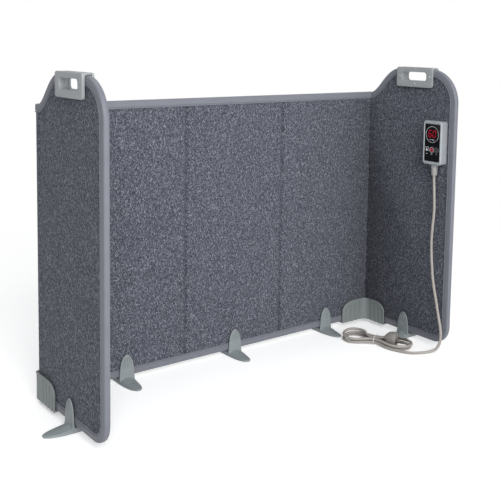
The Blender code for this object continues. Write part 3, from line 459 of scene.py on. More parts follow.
def plate(loops, low, high, edge=0.0, segments=2):
    """A flat plate with holes, local z from low to high, its rims rounded."""
    work = bmesh.new()
    for points in loops:
        ring(work, [(*p, low) for p in points])
    merge(work)
    if len(loops) == 1:
        bmesh.ops.contextual_create(work, geom=work.edges[:])
    else:
        bmesh.ops.triangle_fill(work, use_beauty=True, use_dissolve=False, edges=work.edges[:])
    grown = bmesh.ops.extrude_face_region(work, geom=work.faces[:], use_keep_orig=True)
    top = [v for v in grown["geom"] if isinstance(v, bmesh.types.BMVert)]
    bmesh.ops.translate(work, vec=(0, 0, high - low), verts=top)
    outward(work)
    if edge:
        soften(work, (low, high), edge, segments)
    return work


def block(low, high):
    low, high = Vector(low), Vector(high)
    work = bmesh.new()
    bmesh.ops.create_cube(work, size=1.0, matrix=Matrix.LocRotScale((low + high) / 2, None, high - low))
    return work


def loft(stations):
    """Rings of equal count, skinned by bridging each ring to the next, with capped ends."""
    work = bmesh.new()
    rings = [ring(work, points) for points in stations]
    for one, two in zip(rings, rings[1:]):
        bmesh.ops.bridge_loops(work, edges=one + two)
    for end in (rings[0], rings[-1]):
        bmesh.ops.contextual_create(work, geom=end)
    return outward(work)


def turned(profile, steps):
    """A solid turned about z from (radius, height) pairs."""
    work = bmesh.new()
    knots = [work.verts.new((r, 0, h)) for r, h in profile]
    edges = [work.edges.new(pair) for pair in zip(knots, knots[1:])]
    bmesh.ops.spin(work, geom=knots + edges, cent=(0, 0, 0), axis=(0, 0, 1), angle=tau, steps=steps,
                   use_merge=True)
    merge(work)
    return outward(work)


def join(parts):
    """Several finished solids as one mesh."""
    whole = bmesh.new()
    for part in parts:
        mesh = mesh_of("part", part)
        whole.from_mesh(mesh)
        bpy.data.meshes.remove(mesh)
    return whole


def evaluated(objects):
    """The mesh of the first object after its sweep or its cuts. The objects themselves go."""
    bpy.context.view_layer.update()
    graph = bpy.context.evaluated_depsgraph_get()
    mesh = bpy.data.meshes.new_from_object(objects[0].evaluated_get(graph))
    work = bmesh.new()
    work.from_mesh(mesh)
    bpy.data.batch_remove([mesh, *objects, *(made.data for made in objects)])
    return work


def poly_curve(name, points, cyclic=False, flat=False):
    curve = bpy.data.curves.new(name, "CURVE")
    curve.dimensions = "2D" if flat else "3D"
    spline = curve.splines.new("POLY")
    spline.points.add(len(points) - 1)
    for knot, place in zip(spline.points, points):
        knot.co = (*place, 1.0) if len(place) == 3 else (*place, 0.0, 1.0)
    spline.use_cyclic_u = cyclic
    return stand(name, curve)


def swept(points, cyclic=False, radius=0.0, resolution=3, section=None):
    """The closed mesh of a route: a round tube, or a section swept along it in its plane."""
    guide = poly_curve("route", points, cyclic, flat=bool(section))
    guide.data.use_fill_caps = not cyclic
    spares = [guide]
    if section:
        spares.append(poly_curve("section", section, cyclic=True, flat=True))
        for spare in spares:
            spare.data.fill_mode = "NONE"
        guide.data.bevel_mode = "OBJECT"
        guide.data.bevel_object = spares[-1]
    else:
        guide.data.bevel_depth = radius
        guide.data.bevel_resolution = resolution
    work = evaluated(spares)
    merge(work)
    return outward(work)


def carved(work, *tools, operation="DIFFERENCE"):
    """A solid with others cut from it or added to it."""
    spares = [stand("blank", mesh_of("blank", work))]
    for tool in tools:
        spares.append(stand("tool", mesh_of("tool", tool)))
        step = spares[0].modifiers.new("cut", "BOOLEAN")
        step.operation = operation
        step.solver = "EXACT"
        step.object = spares[-1]
    return evaluated(spares)


def piece(name, work, look, body, replaces=()):
    """Makes an object of a finished mesh, and rides it on its body."""
    mesh = mesh_of(name, work)
    mesh.shade_smooth()
    mesh.set_sharp_from_angle(angle=radians(60 if look is FELT_LOOK else 35))
    mesh.materials.append(look)
    made = stand(name, mesh)
    if body:
        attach(made, body)
    if replaces:
        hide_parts(*replaces)
    return made


# Places
def frame_of(x_axis, y_axis, z_axis, origin=(0, 0, 0)):
    matrix = Matrix((x_axis, y_axis, z_axis)).transposed().to_4x4()
    matrix.translation = origin
    return matrix


def wing_frame(sign, across):
    return frame_of((0, -1, 0), (0, 0, 1), (-1, 0, 0), (sign * (HALF_WIDTH + across), INNER_Y, 0))


def face_frame(sign, s, z):
    """On a wing's inner face, local z into the space between the wings."""
    return frame_of((0, -sign, 0), (0, 0, 1), (-sign, 0, 0), (sign * HALF_WIDTH, INNER_Y - s, z))


def at(x, y, z, turn=0):
    """A place, turned about its own z by some degrees."""
    return Matrix.Translation((x, y, z)) @ Matrix.Rotation(radians(turn), 4, "Z")


def corner_place(sign):
    """The corner of the panel's inner faces, as a mirror image on the left."""
    return at(sign * HALF_WIDTH, INNER_Y, 0) @ Matrix.Diagonal((sign, 1, 1, 1))


set_camera()
set_stage()


# Flat runs of the wall, from its middle to each corner, cut into columns where they fold
FOLD = 0.012
SEAM = 0.0157
SHARES = (0.06, 0.13, 0.2, 0.28, 0.38, 0.5, 0.64, 0.8, 1.0)
CREASE_HALF = 0.0048
DIAGONAL = Vector((1, -1, 0)).normalized()
CREASE_DEPTH = 0.0013
PAST_CORNER = 0.002


def wall_run(side, name, kind, work, look, pressed=0.0):
    """A flat run of the wall: mitred at the corner, pressed to a valley on one face and cut into columns at
    the fold.
    """
    sign, crease = SIDES[side], CREASES[side]
    for vert in work.verts:
        if vert.co.x * sign > HALF_WIDTH:
            vert.co.x = sign * (HALF_WIDTH - GAP / 2 + vert.co.y - INNER_Y)
    for share in [0.0] + [way * value for way in (-1, 1) for value in SHARES]:
        bisect(work, (crease + FOLD * share, 0, 0), (1, 0, 0))
    toward = 1 if pressed < PANEL / 2 else -1
    for vert in work.verts:
        reach = abs(vert.co.x - crease) / CREASE_HALF
        if pressed and reach < 1 and abs(vert.co.y - INNER_Y - pressed) < GAP / 10:
            vert.co.y += toward * CREASE_DEPTH * (0.5 + 0.5 * cos(pi * reach))
    made = piece(f"{side}_wall_{name}_{kind}", work, look, None,
                 [f"{part}_wall_{name}" for part in (side, "middle")])
    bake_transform(made)


def make_wall(side):
    sign = SIDES[side]
    span = HALF_WIDTH + PANEL + PAST_CORNER - sign * SEAM
    left, right = sorted((SEAM, SEAM + sign * span))
    for face, near in FELT_LEVELS.items():
        work = block((left, INNER_Y + near, BOTTOM_Z + FELT_DEPTH),
                     (right, INNER_Y + near + FELT, WALL_TOP_Z - FELT_DEPTH))
        pressed = near if face == "inner" else near + FELT
        wall_run(side, face + "_felt", "sheet", work, FELT_LOOK, pressed)
    for edge, level, turn in (("bottom", BOTTOM_Z, -1), ("top", WALL_TOP_Z, 1)):
        place = frame_of((0, 0, turn), (0, 1, 0), (sign, 0, 0), (SEAM, MIDDLE_Y, level))
        work = put(plate([edging_section()], 0, span), place)
        wall_run(side, edge + "_edging", "strip", work, EDGING_LOOK)


def edging_section():
    """The folded strip's section: out of the panel's edge, and across its thickness."""
    half = PANEL / 2
    bead = 0.0008
    round_depth = 0.003
    groove = half - 0.0007
    side = [(-round_depth * (1 - cos(a) ** 0.75), half * sin(a) ** 0.85)
            for a in (radians(9 * i) for i in range(10))]
    side += [(-EDGING_WIDTH + 3.9 * bead, half), (-EDGING_WIDTH + 3.6 * bead, groove),
             (-EDGING_WIDTH + 2.3 * bead, groove)]
    side += [(-EDGING_WIDTH + bead + bead * cos(a), half + 0.0004 * sin(a))
             for a in (radians(22.5 * i) for i in range(9))]
    side += [(-EDGING_WIDTH, half - EDGING), (-EDGING - 0.0006, half - EDGING)]
    return side + [(x, -y) for x, y in reversed(side[1:])]


# Wings, with a handle round a slot in the top of each
BOTTOM_ROUND = 0.033
TOP_ROUND = 0.06
SLOPE = 0.075
HANDLE_S = 0.114
PLATE_HEIGHT = 0.036
PLATE_BOTTOM = WING_TOP_Z + 0.0025 - PLATE_HEIGHT
SLOT_Z = PLATE_BOTTOM + 0.0115 + 0.008
RISE = 0.0042
SEAT = GAP + 0.0004
SCREWS = ((-0.036, 0.0), (0.036, 0.0), (0.0, -0.01375))


def wing_edge(back):
    rise = WING_TOP_Z - WALL_TOP_Z
    points = [(-back, BOTTOM_Z)]
    points += arc((WING_WIDTH - BOTTOM_ROUND, BOTTOM_Z + BOTTOM_ROUND), BOTTOM_ROUND, -90, 0, 18)
    points += arc((WING_WIDTH - TOP_ROUND, WING_TOP_Z - TOP_ROUND), TOP_ROUND, 0, 90, 26)
    points += bezier((SLOPE, WING_TOP_Z), (SLOPE * 0.507, WALL_TOP_Z + rise),
                     (SLOPE * 0.293, WALL_TOP_Z + rise * 0.082), (0, WALL_TOP_Z), 24)
    return points + [(-back, WALL_TOP_Z)]


def cut_corner(work, side):
    """The wing's edge at the corner, cut on the corner's diagonal."""
    sign = SIDES[side]
    corner = corner_place(sign) @ (DIAGONAL * (GAP / 2))
    made = bisect(work, corner, (-sign, 1, 0), clear_outer=True)
    rims = [e for e in made["geom_cut"] if isinstance(e, bmesh.types.BMEdge)]
    bmesh.ops.edgeloop_fill(work, edges=rims)
    return outward(work)


def slot_outline(grown=0.0):
    return rounded(0.058 + 2 * grown, 0.016 + 2 * grown, 0.0055 + grown, 14)


def make_wing(side):
    sign = SIDES[side]
    body = side + "_wing"
    slot = slot_outline(0.0019)
    hole = [(HANDLE_S + x, SLOT_Z + z) for x, z in slot]
    edge = wing_edge(PANEL + GAP)
    for face, near in FELT_LEVELS.items():
        work = plate([inset(edge, FELT_DEPTH), hole], -FELT / 2, FELT / 2)
        cut_corner(put(work, wing_frame(sign, near + FELT / 2)), side)
        piece(f"{body}_{face}_felt_sheet", work, FELT_LOOK, body, [f"{body}_{face}_felt"])
    place = face_frame(sign, HANDLE_S, SLOT_Z)
    work = cut_corner(put(swept(edge, section=edging_section()), wing_frame(sign, PANEL / 2)), side)
    work = carved(work, put(plate([slot], -0.03, 0.02), place))
    piece(f"{body}_edging_strip", work, EDGING_LOOK, body, [f"{body}_edging"])

    def handle_piece(name, work, look, replaced):
        piece(f"{body}_{name}", put(work, place), look, body, [f"{body}_{replaced}"])

    # The outer part goes over the panel's top, close round its edging, and its collar lines the slot
    lift = PLATE_BOTTOM + PLATE_HEIGHT / 2 - SLOT_Z
    outline = [(x, z + lift) for x, z in rounded(0.086, PLATE_HEIGHT, 0.0045, 10)]
    back_face = PANEL + SEAT
    face = -back_face - RISE
    top = WING_TOP_Z - SLOT_Z
    room = block((-0.06, -0.06, -back_face), (0.06, top - 0.0018, 0.01))
    section = edging_section()
    arch = [(across * (1 + 2 * GAP / PANEL) - PANEL / 2, top + GAP + out)
            for out, across in section[:10] + section[-9:]]
    ridge = put(plate([arch], -0.06, 0.06), frame_of((0, 0, 1), (0, 1, 0), (1, 0, 0)))
    collar = plate([slot_outline(0.0016)], -back_face - RISE / 2, 0)
    outer = carved(plate([outline], face, 0, 0.0012, 3), room, ridge)
    outer = carved(carved(outer, collar, operation="UNION"), plate([slot_outline()], -0.03, 0.02))
    soften(outer, (face,), 0.0008, 3)
    handle_piece("handle_outer", outer, HANDLE_LOOK, "handle_outer_plate")
    seat = [(0, -0.001), (0.0036, -0.001), (0.0042, 0.001), (0, 0.001)]
    seats = [put(turned(seat, 28), at(x, z, RISE + 0.0001)) for x, z in SCREWS]
    inner = carved(plate([outline, slot_outline()], SEAT, RISE, 0.001, 3), *seats)
    handle_piece("handle_inner", inner, HANDLE_LOOK, "handle_inner_plate")
    for number, (x, z) in enumerate(SCREWS, 1):
        work = put(screw_work(), at(x, z, RISE - 0.0009, 20 + 35 * number))
        handle_piece(f"screw_{number}", work, SCREW_LOOK, f"handle_screw_{number}")


def screw_work():
    """A pan head with a cross recess, its underside at zero."""
    radius, side, dome = 0.0026, 0.0006, 0.0008
    profile = [(0, 0), (radius, 0), (radius, side)]
    profile += [(radius * cos(a), side + dome * sin(a))
                for a in (radians(18 * i) for i in range(1, 5))]
    profile.append((0, side + dome))
    bars = [block((-x, -y, 0.0007), (x, y, 0.002)) for x, y in ((0.0014, 0.00035), (0.00035, 0.0014))]
    return carved(turned(profile, 28), *bars)


# Feet
HUMP = 0.0093
PRONG_HALF = 0.0135
PRONG_TIP = 0.047
PRONG_SHARES = ((0.21, 1.0), (0.4, 0.96), (0.6, 0.88), (0.77, 0.74), (0.885, 0.54), (0.972, 0.26),
                (1.0, 0.0))
PRONG_LEVELS = (0.006, 0.008, 0.01, 0.012, 0.014, 0.017, 0.02, 0.024, 0.028, 0.032, 0.036, 0.04, 0.044)


def foot_base():
    """A blunt leaf on the floor: it rises in a hollow to the prongs, creased down each side."""
    reach = PANEL / 2 + FOOT_REACH
    rim = 0.0042
    tops = ((0.0, 1.0), (0.16, 1.0), (0.3, 0.72), (0.5, 0.38), (0.72, 0.12), (1.0, 0.0))
    stations = []
    for i in range(65):
        along = sin(radians(-88.6 + 177.2 * i / 64))
        wide = 0.01425 * (1 - abs(along) ** 2.4) ** 0.41
        low_tip = 1 - max(0.0, abs(along) - 0.7)
        top = (rim + (HUMP - rim) * between(tops, abs(along), 0.5)) * low_tip
        foot = min(0.0006, wide * 0.4)
        side = 0.0014 * low_tip
        crease = side + (top - side) * 0.66
        half = [(wide - foot, 0.0), (wide, foot), (wide, side), (wide * 0.985, side + 0.0004),
                (wide * 0.8, crease - 0.0002), (wide * 0.77, crease), (wide * 0.72, crease + 0.0001),
                (wide * 0.5, crease + (top - crease) * 0.45), (wide * 0.25, crease + (top - crease) * 0.86)]
        section = half + [(0.0, top)] + [(-x, z) for x, z in reversed(half)]
        stations.append([(x, along * reach, z) for x, z in section])
    return loft(stations)


def foot_work():
    """A clip-on foot about the panel's middle: its base with a pointed, grooved prong on each side."""
    knots = [(PRONG_HALF * wide, PRONG_TIP * up) for up, wide in PRONG_SHARES]
    half_arch = [tuple(p) for p in smooth_route(knots, 0.0014)]
    arch = [(-PRONG_HALF, 0.003), (PRONG_HALF, 0.003)] + half_arch
    arch += [(-x, z) for x, z in reversed(half_arch[:-1])]
    gap_half = PANEL / 2 + SEAT
    face_depth = gap_half + 0.0026
    parts = [carved(foot_base(), block((-0.03, -gap_half, BOTTOM_Z - GAP), (0.03, gap_half, 0.02)))]
    low = PRONG_TIP - (PRONG_TIP - HUMP) * 0.64
    high = PRONG_TIP - 0.003
    for face in (-1, 1):
        grooves = []
        for share in (-0.66, -0.33, 0.0, 0.33, 0.66):
            route = []
            for i in range(15):
                t = i / 14
                z = low + (high - low) * t
                aside = share * PRONG_HALF * between(PRONG_SHARES, z / PRONG_TIP)
                route.append((aside, z, face_depth + 0.0001 + 0.0009 * max(0.0, 1 - t * 4)))
            grooves.append(swept(route, radius=0.00125, resolution=2))
        prong = carved(plate([arch], gap_half, face_depth, 0.0007, 3), *grooves)
        for level in PRONG_LEVELS:
            bisect(prong, (0, level, 0), (0, 1, 0))
        for vert in prong.verts:
            if vert.co.z > gap_half + 0.001:
                flare = 0.0012 * exp(-max(0.0, vert.co.y - 0.006) / 0.003)
                vert.co.z += flare - 0.0007 * (vert.co.y / PRONG_TIP) ** 2
        parts.append(put(prong, frame_of((-face, 0, 0), (0, 0, 1), (0, face, 0))))
    return join(parts)


def make_feet():
    model = foot_work()
    wing_x, wing_y = HALF_WIDTH + PANEL / 2, INNER_Y - 0.105
    for body, x, y, turn in (
        ("left_wall", -0.201, MIDDLE_Y, 0),
        ("middle_wall", SEAM, MIDDLE_Y, 0),
        ("right_wall", 0.2315, MIDDLE_Y, 0),
        ("left_wing", -wing_x, wing_y, 90),
        ("right_wing", wing_x, wing_y, -90),
    ):
        work = put(model.copy(), at(x, y, 0, turn))
        piece(body + "_foot_moulding", work, FOOT_LOOK, body, [body + "_foot"])
    model.free()


# Corner clips
CLIP_LEGS = {"wall": 0.062, "wing": 0.054}
CLIP_LOW, CLIP_HIGH, CLIP_END_HIGH, CLIP_FLAT = 0.0072, 0.0485, 0.0325, 0.03
CLIP_INSIDE = -(SEAT + 0.0024)
CLIP_OUTSIDE = PANEL + SEAT + 0.0024
INSIDE_ROUND, OUTSIDE_ROUND = 0.011, 0.0048
RIM = 0.0014
RIM_DEPTHS = (CLIP_INSIDE + 0.0003, CLIP_OUTSIDE - 0.0003)
FLUTE = 0.002


def angle_outline(near, far, wall_leg, wing_leg, inner_radius, outer_radius):
    """An angle in plan about the corner of the panel's inner faces, legs along -x and -y."""
    points = [(-wall_leg, far), (-wall_leg, near)]
    points += arc((near - inner_radius, near - inner_radius), inner_radius, 90, 0, 16)
    points += [(near, -wing_leg), (far, -wing_leg)]
    return points + arc((far - outer_radius, far - outer_radius), outer_radius, 0, 90, 12)


def clip_crown(leg):
    """The top edge of one leg, from its level stretch down to the leg's end."""
    fall = leg - CLIP_FLAT
    drop = CLIP_HIGH - CLIP_END_HIGH
    return bezier((-CLIP_FLAT, CLIP_HIGH), (-CLIP_FLAT - fall * 0.55, CLIP_HIGH),
                  (-leg, CLIP_END_HIGH + drop * 0.55), (-leg, CLIP_END_HIGH), 16)


def clip_work():
    """The right corner's clip: an angled channel, fluted, its top arched down to a lip at each end."""
    legs = CLIP_LEGS.values()
    outline = angle_outline(CLIP_INSIDE, CLIP_OUTSIDE, *legs, INSIDE_ROUND, OUTSIDE_ROUND)
    channel = angle_outline(-SEAT, PANEL + SEAT, *(leg + 0.02 for leg in legs), 0, 0.0003)
    tools = [plate([channel], BOTTOM_Z - GAP, CLIP_HIGH + 0.02)]
    along = {
        "wall": frame_of((1, 0, 0), (0, 0, 1), (0, -1, 0), (0, PANEL / 2, 0)),
        "wing": frame_of((0, 1, 0), (0, 0, 1), (1, 0, 0), (PANEL / 2, 0, 0)),
    }
    rims = []
    low = CLIP_LOW - 0.004
    for word, leg in CLIP_LEGS.items():
        crown = clip_crown(leg)
        over = crown + [(-leg - 0.02, CLIP_END_HIGH), (-leg - 0.02, CLIP_HIGH + 0.02),
                        (-CLIP_FLAT, CLIP_HIGH + 0.02)]
        tools.append(put(plate([over], -0.02, 0.02), along[word]))
        for share in (0.3, 0.5, 0.7, 0.89):
            reach = leg * share
            past = max(0.0, (reach - CLIP_FLAT) / (leg - CLIP_FLAT))
            top = CLIP_HIGH - (CLIP_HIGH - CLIP_END_HIGH) * past * past - 0.0036
            # A round upright groove that runs out of the lower edge and ends in a dome
            flute = [(0, low), (FLUTE, low), (FLUTE, top - 0.0017), (0.0013, top - 0.0005), (0, top)]
            for depth in (CLIP_INSIDE - 0.0004, CLIP_OUTSIDE + 0.0004):
                x, y = (-reach, depth) if word == "wall" else (depth, -reach)
                tools.append(put(turned(flute, 16), at(x, y, 0, 11)))
        # A rounded rim along the top edge, and a lip down the end
        for depth, start in zip(RIM_DEPTHS, (-0.0128, CLIP_OUTSIDE - 0.0052)):
            route = [(-leg, CLIP_LOW + 0.0006)] + crown[::-1] + [(start, CLIP_HIGH)]
            route = [(x, depth, z) if word == "wall" else (depth, x, z) for x, z in route]
            rims.append(swept(route, radius=RIM))
    for depth, radius in zip(RIM_DEPTHS, (INSIDE_ROUND - 0.0003, OUTSIDE_ROUND - 0.0003)):
        bow = arc((depth - radius, depth - radius), radius, 0, 90, 16)
        rims.append(swept([(x, y, CLIP_HIGH) for x, y in bow], radius=RIM))
    whole = join([carved(plate([outline], CLIP_LOW, CLIP_HIGH), *tools)] + rims)
    for share in (-0.9, -0.7, -0.5, -0.35, -0.2, -0.08, 0.0, 0.08, 0.2, 0.35, 0.5, 0.7, 0.9):
        bisect(whole, DIAGONAL * (share * 0.022), DIAGONAL)
    return whole


def corner_turn(made):
    """Bakes a corner piece's place into its mesh."""
    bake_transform(made)


def make_clips():
    model = clip_work()
    for side, sign in SIDES.items():
        made = piece(f"{side}_corner_clip_moulding", put(model.copy(), corner_place(sign)), CLIP_LOOK, None,
                     [f"{side}_corner_clip"])
        corner_turn(made)
    model.free()


def make_corner_strips():
    """A strip of felt closes each corner from outside, between the edgings."""
    face = PANEL - FELT_DEPTH
    outline = angle_outline(face + 0.00005, face + 0.0006, 0.001, 0.001, 0, 0.0007)
    for side, sign in SIDES.items():
        work = plate([outline], BOTTOM_Z + EDGING_WIDTH + GAP, WALL_TOP_Z - EDGING_WIDTH - GAP)
        for reach in (-0.004, -0.0025, -0.0015, -0.0008, 0.0, 0.0008, 0.0015, 0.0025, 0.004):
            bisect(work, DIAGONAL * reach, DIAGONAL)
        put(work, corner_place(sign))
        made = piece(f"{side}_corner_felt_strip", work, FELT_LOOK, None)
        corner_turn(made)


def make_mitre_felts():
    """Thin felt over the cut ends of the wall and of each wing, seen where a wing folds out."""
    thick = 0.00006
    levels = {"wall": -0.000104, "wing": GAP / 2 - thick}
    low, high = BOTTOM_Z + FELT_DEPTH, WALL_TOP_Z - FELT_DEPTH
    near, far = FELT_DEPTH * sqrt(2), (PANEL - FELT_DEPTH) * sqrt(2)
    face = [(near, low), (far, low), (far, high), (near, high)]
    for side, sign in SIDES.items():
        place = corner_place(sign) @ frame_of(Vector((1, 1, 0)).normalized(), (0, 0, 1), DIAGONAL)
        for word, level in levels.items():
            work = put(plate([face], level, level + thick), place)
            piece(f"{side}_{word}_mitre_felt", work, MITRE_LOOK, f"{side}_{word}")


# Controller
CASE_S, CASE_LOW, CASE_STAND = 0.172, 0.3395, 0.016
CASE_SIZE = (0.041, 0.078)
CASE_Z = CASE_LOW + CASE_SIZE[1] / 2
FRAME_DEPTH = 0.0032
GLASS_SIZE = (0.0345, 0.067)
GLASS_CORNER = 0.0022
PRINT = 0.00006
RING_Z = 0.3936 - CASE_Z
KEY_Z = 0.366 - CASE_Z


def circle(radius, steps=48):
    return arc((0, 0), radius, 0, 360 - 360 / steps, steps - 1)


def bar(x, y, width, height):
    return [(x + sx * width / 2, y + sy * height / 2) for sx, sy in ((1, 1), (-1, 1), (-1, -1), (1, -1))]


def segment_outline(name, x):
    """One bar of a seven-segment digit, its ends cut to points."""
    wide, tall, thick, slant, rise = 0.0062, 0.0122, 0.0014, 0.1, 0.0012
    across, up = {"a": (0, 2), "b": (1, 1), "c": (1, -1), "d": (0, -2), "e": (-1, -1), "f": (-1, 1),
                  "g": (0, 0)}[name]
    cx, cz = across * wide / 2, up * tall / 4
    half = (tall / 4 if cx else wide / 2) - thick * 0.35
    tip = thick / 2
    shape = [(half, 0), (half - tip, tip), (tip - half, tip), (-half, 0), (tip - half, -tip),
             (half - tip, -tip)]
    points = [(-b, a) if cx else (a, b) for a, b in shape]
    return [(x + cx + px + slant * (cz + pz), rise + cz + pz) for px, pz in points]


def make_controller():
    body = "right_wing"
    place = face_frame(1, CASE_S, CASE_Z)
    front = CASE_STAND - FRAME_DEPTH - GAP
    outline = rounded(*CASE_SIZE, 0.005, 12)
    case = put(plate([outline], -EDGING, front), place)
    piece("controller_case_shell", case, CASE_LOOK, body, ["controller_case"])
    lip = rounded(*(size + 2 * GAP for size in GLASS_SIZE), GLASS_CORNER + GAP, 10)
    bezel = plate([outline, lip], front + GAP, CASE_STAND)
    soften(bezel, (CASE_STAND,), 0.0011, 4)
    piece("controller_bezel", put(bezel, place), BEZEL_LOOK, body,
          ["controller_front_frame"])
    face = CASE_STAND - 2 * GAP
    glass = plate([rounded(*GLASS_SIZE, GLASS_CORNER, 10)], face - 0.0015, face, 0.0002, 2)
    piece("controller_display", put(glass, place), GLASS_LOOK, body, ["controller_glass"])

    # Lit digits in a printed ring, three touch marks under it
    def mark(name, look, x, z, *shapes):
        work = join([plate(loops, face, face + PRINT) for loops in shapes])
        piece(name, put(work, place @ at(x, z, 0)), look, body)

    mark("display_ring", RING_LOOK, 0, RING_Z, [circle(0.0146), circle(0.0141)])
    digits = [[segment_outline(segment, x)] for x, lit in ((-0.0051, "afgedc"), (0.0047, "abcdef"))
              for segment in lit]
    mark("display_digits", DIGIT_LOOK, 0, RING_Z, *digits)
    mark("display_marks", RING_LOOK, 0, RING_Z, [bar(-0.0036, -0.0092, 0.0034, 0.0009)],
         [bar(0.0024, -0.0096, 0.0046, 0.0009)])
    open_ring = arc((0, 0), 0.005, -40, 220, 30) + arc((0, 0), 0.0045, 220, -40, 30)
    drop = arc((0, -0.0006), 0.0021, 200, 340, 10) + [(0, 0.0034)]
    for number, (x, ring_look, rim, look, shape) in enumerate((
        (-0.0114, RING_LOOK, [open_ring], RING_LOOK, [drop]),
        (-0.0002, RING_LOOK, [circle(0.005), circle(0.0045)], DISC_LOOK, [circle(0.0041)]),
        (0.0108, MARK_LOOK, [circle(0.0049), circle(0.0044)], MARK_LOOK, [circle(0.0021), circle(0.0015)]),
    ), 1):
        mark(f"touch_mark_{number}_ring", ring_look, x, KEY_Z, rim)
        mark(f"touch_mark_{number}", look, x, KEY_Z, shape)
        mark(f"touch_mark_{number}_tag", ring_look, x, KEY_Z - 0.0076, [bar(0, 0, 0.0038, 0.0007)])


for side_name in SIDES:
    make_wall(side_name)
for side_name in SIDES:
    make_wing(side_name)
make_feet()
make_clips()
make_corner_strips()
make_mitre_felts()
make_controller()


# Cord: from the controller down the wing, over the floor and into a tied hank
CORD = 0.005
RELIEF_LENGTH = 0.02
RELIEF_RIBS = 5
RELIEF_LOW = CASE_LOW - GAP - RELIEF_LENGTH
RELIEF_X = HALF_WIDTH + EDGING - 0.008
HANK_PLACE = at(0.2676, INNER_Y - 0.1063, CORD / 2, -62.9)
HANK_HALF = 0.06625
WAIST_X = -HANK_HALF * 0.06
LOOPS = 2.083
LOOP_POINTS = 28
LOOP_TOTAL = round(LOOPS * LOOP_POINTS)
START = radians(96)
PITCH = 0.0072
LAYER = 0.0058
OPEN = 0.014
OPEN_SHARE = 0.62
TIE = 0.0006
TIE_LIFT = 2 * TIE + 3 * GAP
TAIL_BEND = 0.0205
TAIL_Y = -PITCH / 4
PLUG_LENGTH, PLUG_RADIUS, PLUG_NECK = 0.0225, 0.0135, 0.005
PLUG_LIFT = PLUG_RADIUS - CORD / 2
NECK_X = WAIST_X + 0.0185
PIN_DEPTH = PLUG_LENGTH / 4
PIN_LENGTH = 0.019 + PIN_DEPTH
OVER_STRAND = LAYER + CORD + 4 * GAP
AT_TIE = LAYER + TIE_LIFT
TAIL_CLIMB = ((0.44, OVER_STRAND), (0.6, OVER_STRAND), (0.84, AT_TIE), (0.86, AT_TIE), (0.99, PLUG_LIFT))
# In millimetres: out from the wing's inner face, beyond the controller's middle, height
FALL = (
    (10.1, 4.3, 292.8), (10.1, 6.0, 256.5), (10.1, 4.0, 229.0), (10.1, 2.4, 199.0), (10.1, 5.3, 157.5),
    (10.1, 9.6, 126.0), (10.1, 16.6, 98.0), (10.7, 24.2, 70.0), (11.7, 31.5, 45.0), (12.4, 33.8, 29.0),
    (15.0, 33.1, 15.2), (20.5, 30.3, 7.0),
)
# In millimetres: over the floor and along the hank's outer side, in the hank's own axes
BESIDE = (
    (97.0, -7.0, 0.2), (85.0, -18.4, 0.2), (73.5, -25.6, 0.2), (60.0, -27.8, 0.2), (48.0, -27.4, 0.2),
    (37.0, -25.8, 0.3), (22.0, -20.8, 0.6), (12.0, -15.2, 1.4), (5.0, -11.3, 1.9),
)


def hank_point(turn):
    """A place on the hank's line in its own axes: it spirals in on the floor and out again on top."""
    past = turn - pi * LOOPS
    rank = abs(past) / tau
    lean = 1 - min(1.0, max(0.0, past) / pi)
    lift = LAYER * sqrt(1 - lean * lean)
    angle = turn + START
    half = HANK_HALF - (LOOPS / 2 - rank) * PITCH
    along = half * cos(angle)
    reach = abs(along - WAIST_X) / (half + abs(WAIST_X))
    lobe = sin(pi / 2 * min(1.0, reach / OPEN_SHARE)) ** 2
    width = CORD / 2 + GAP + PITCH * rank + OPEN * lobe
    from_end = min(1.0, (half - abs(along)) / width)
    closing = sqrt(1 - (1 - from_end) ** 2)
    near = max(0.0, 1 - abs(along - WAIST_X) / (HANK_HALF * 0.7))
    raised = lift + TIE_LIFT * near * near * (3 - 2 * near)
    return Vector((along, -width * copysign(closing, sin(angle)), raised))


def tail_route(spacing):
    """From the last turn round the end, over the inner strands to the waist's middle and the plug."""
    last_turn = tau * LOOP_TOTAL / LOOP_POINTS
    start = hank_point(last_turn)
    along = start - hank_point(last_turn - radians(1))
    heading = atan2(along.y, along.x) % tau
    x = start.x + TAIL_BEND * sin(heading)
    y = start.y - TAIL_BEND * cos(heading)
    back = acos((TAIL_Y - y + TAIL_BEND) / (2 * TAIL_BEND))
    one, two = degrees(heading), degrees(back)
    places = arc((x, y), TAIL_BEND, 90 + one, 90 - two, round(TAIL_BEND * (heading + back) / spacing))[1:]
    x += 2 * TAIL_BEND * sin(back)
    y += 2 * TAIL_BEND * cos(back)
    places += arc((x, y), TAIL_BEND, -90 - two, -90, round(TAIL_BEND * back / spacing))[1:]
    first_x = places[-1][0]
    rest = NECK_X - GAP - first_x
    count = round(rest / spacing)
    places += [(first_x + rest * i / count, TAIL_Y) for i in range(1, count + 1)]
    walked = [0.0]
    for one, two in zip([(start.x, start.y)] + places, places):
        walked.append(walked[-1] + dist(one, two))
    climb = ((0.06, start.z), *TAIL_CLIMB)
    return [Vector((*place, between(climb, way / walked[-1], 1.0))) for place, way in zip(places, walked[1:])]


def cord_line():
    """The whole cord's line, from under the strain relief to the plug's neck."""
    local = [hank_point(tau * i / LOOP_POINTS) for i in range(LOOP_TOTAL + 1)]
    first = HANK_PLACE @ local[0]
    entry = (first - HANK_PLACE @ hank_point(pi / LOOP_POINTS / 2)).normalized()
    supply = [Vector((RELIEF_X, INNER_Y - CASE_S, RELIEF_LOW - down)) for down in (GAP, GAP + CORD)]
    inner = Vector((HALF_WIDTH, INNER_Y - CASE_S, 0))
    supply += [inner + Vector((-out, -beyond, up)) / 1000 for out, beyond, up in FALL]
    supply += [HANK_PLACE @ (Vector(knot) / 1000) for knot in BESIDE] + [first + entry * (GAP + CORD)]
    return smooth_route(supply + [HANK_PLACE @ p for p in local + tail_route(CORD * 0.9)], 0.003)


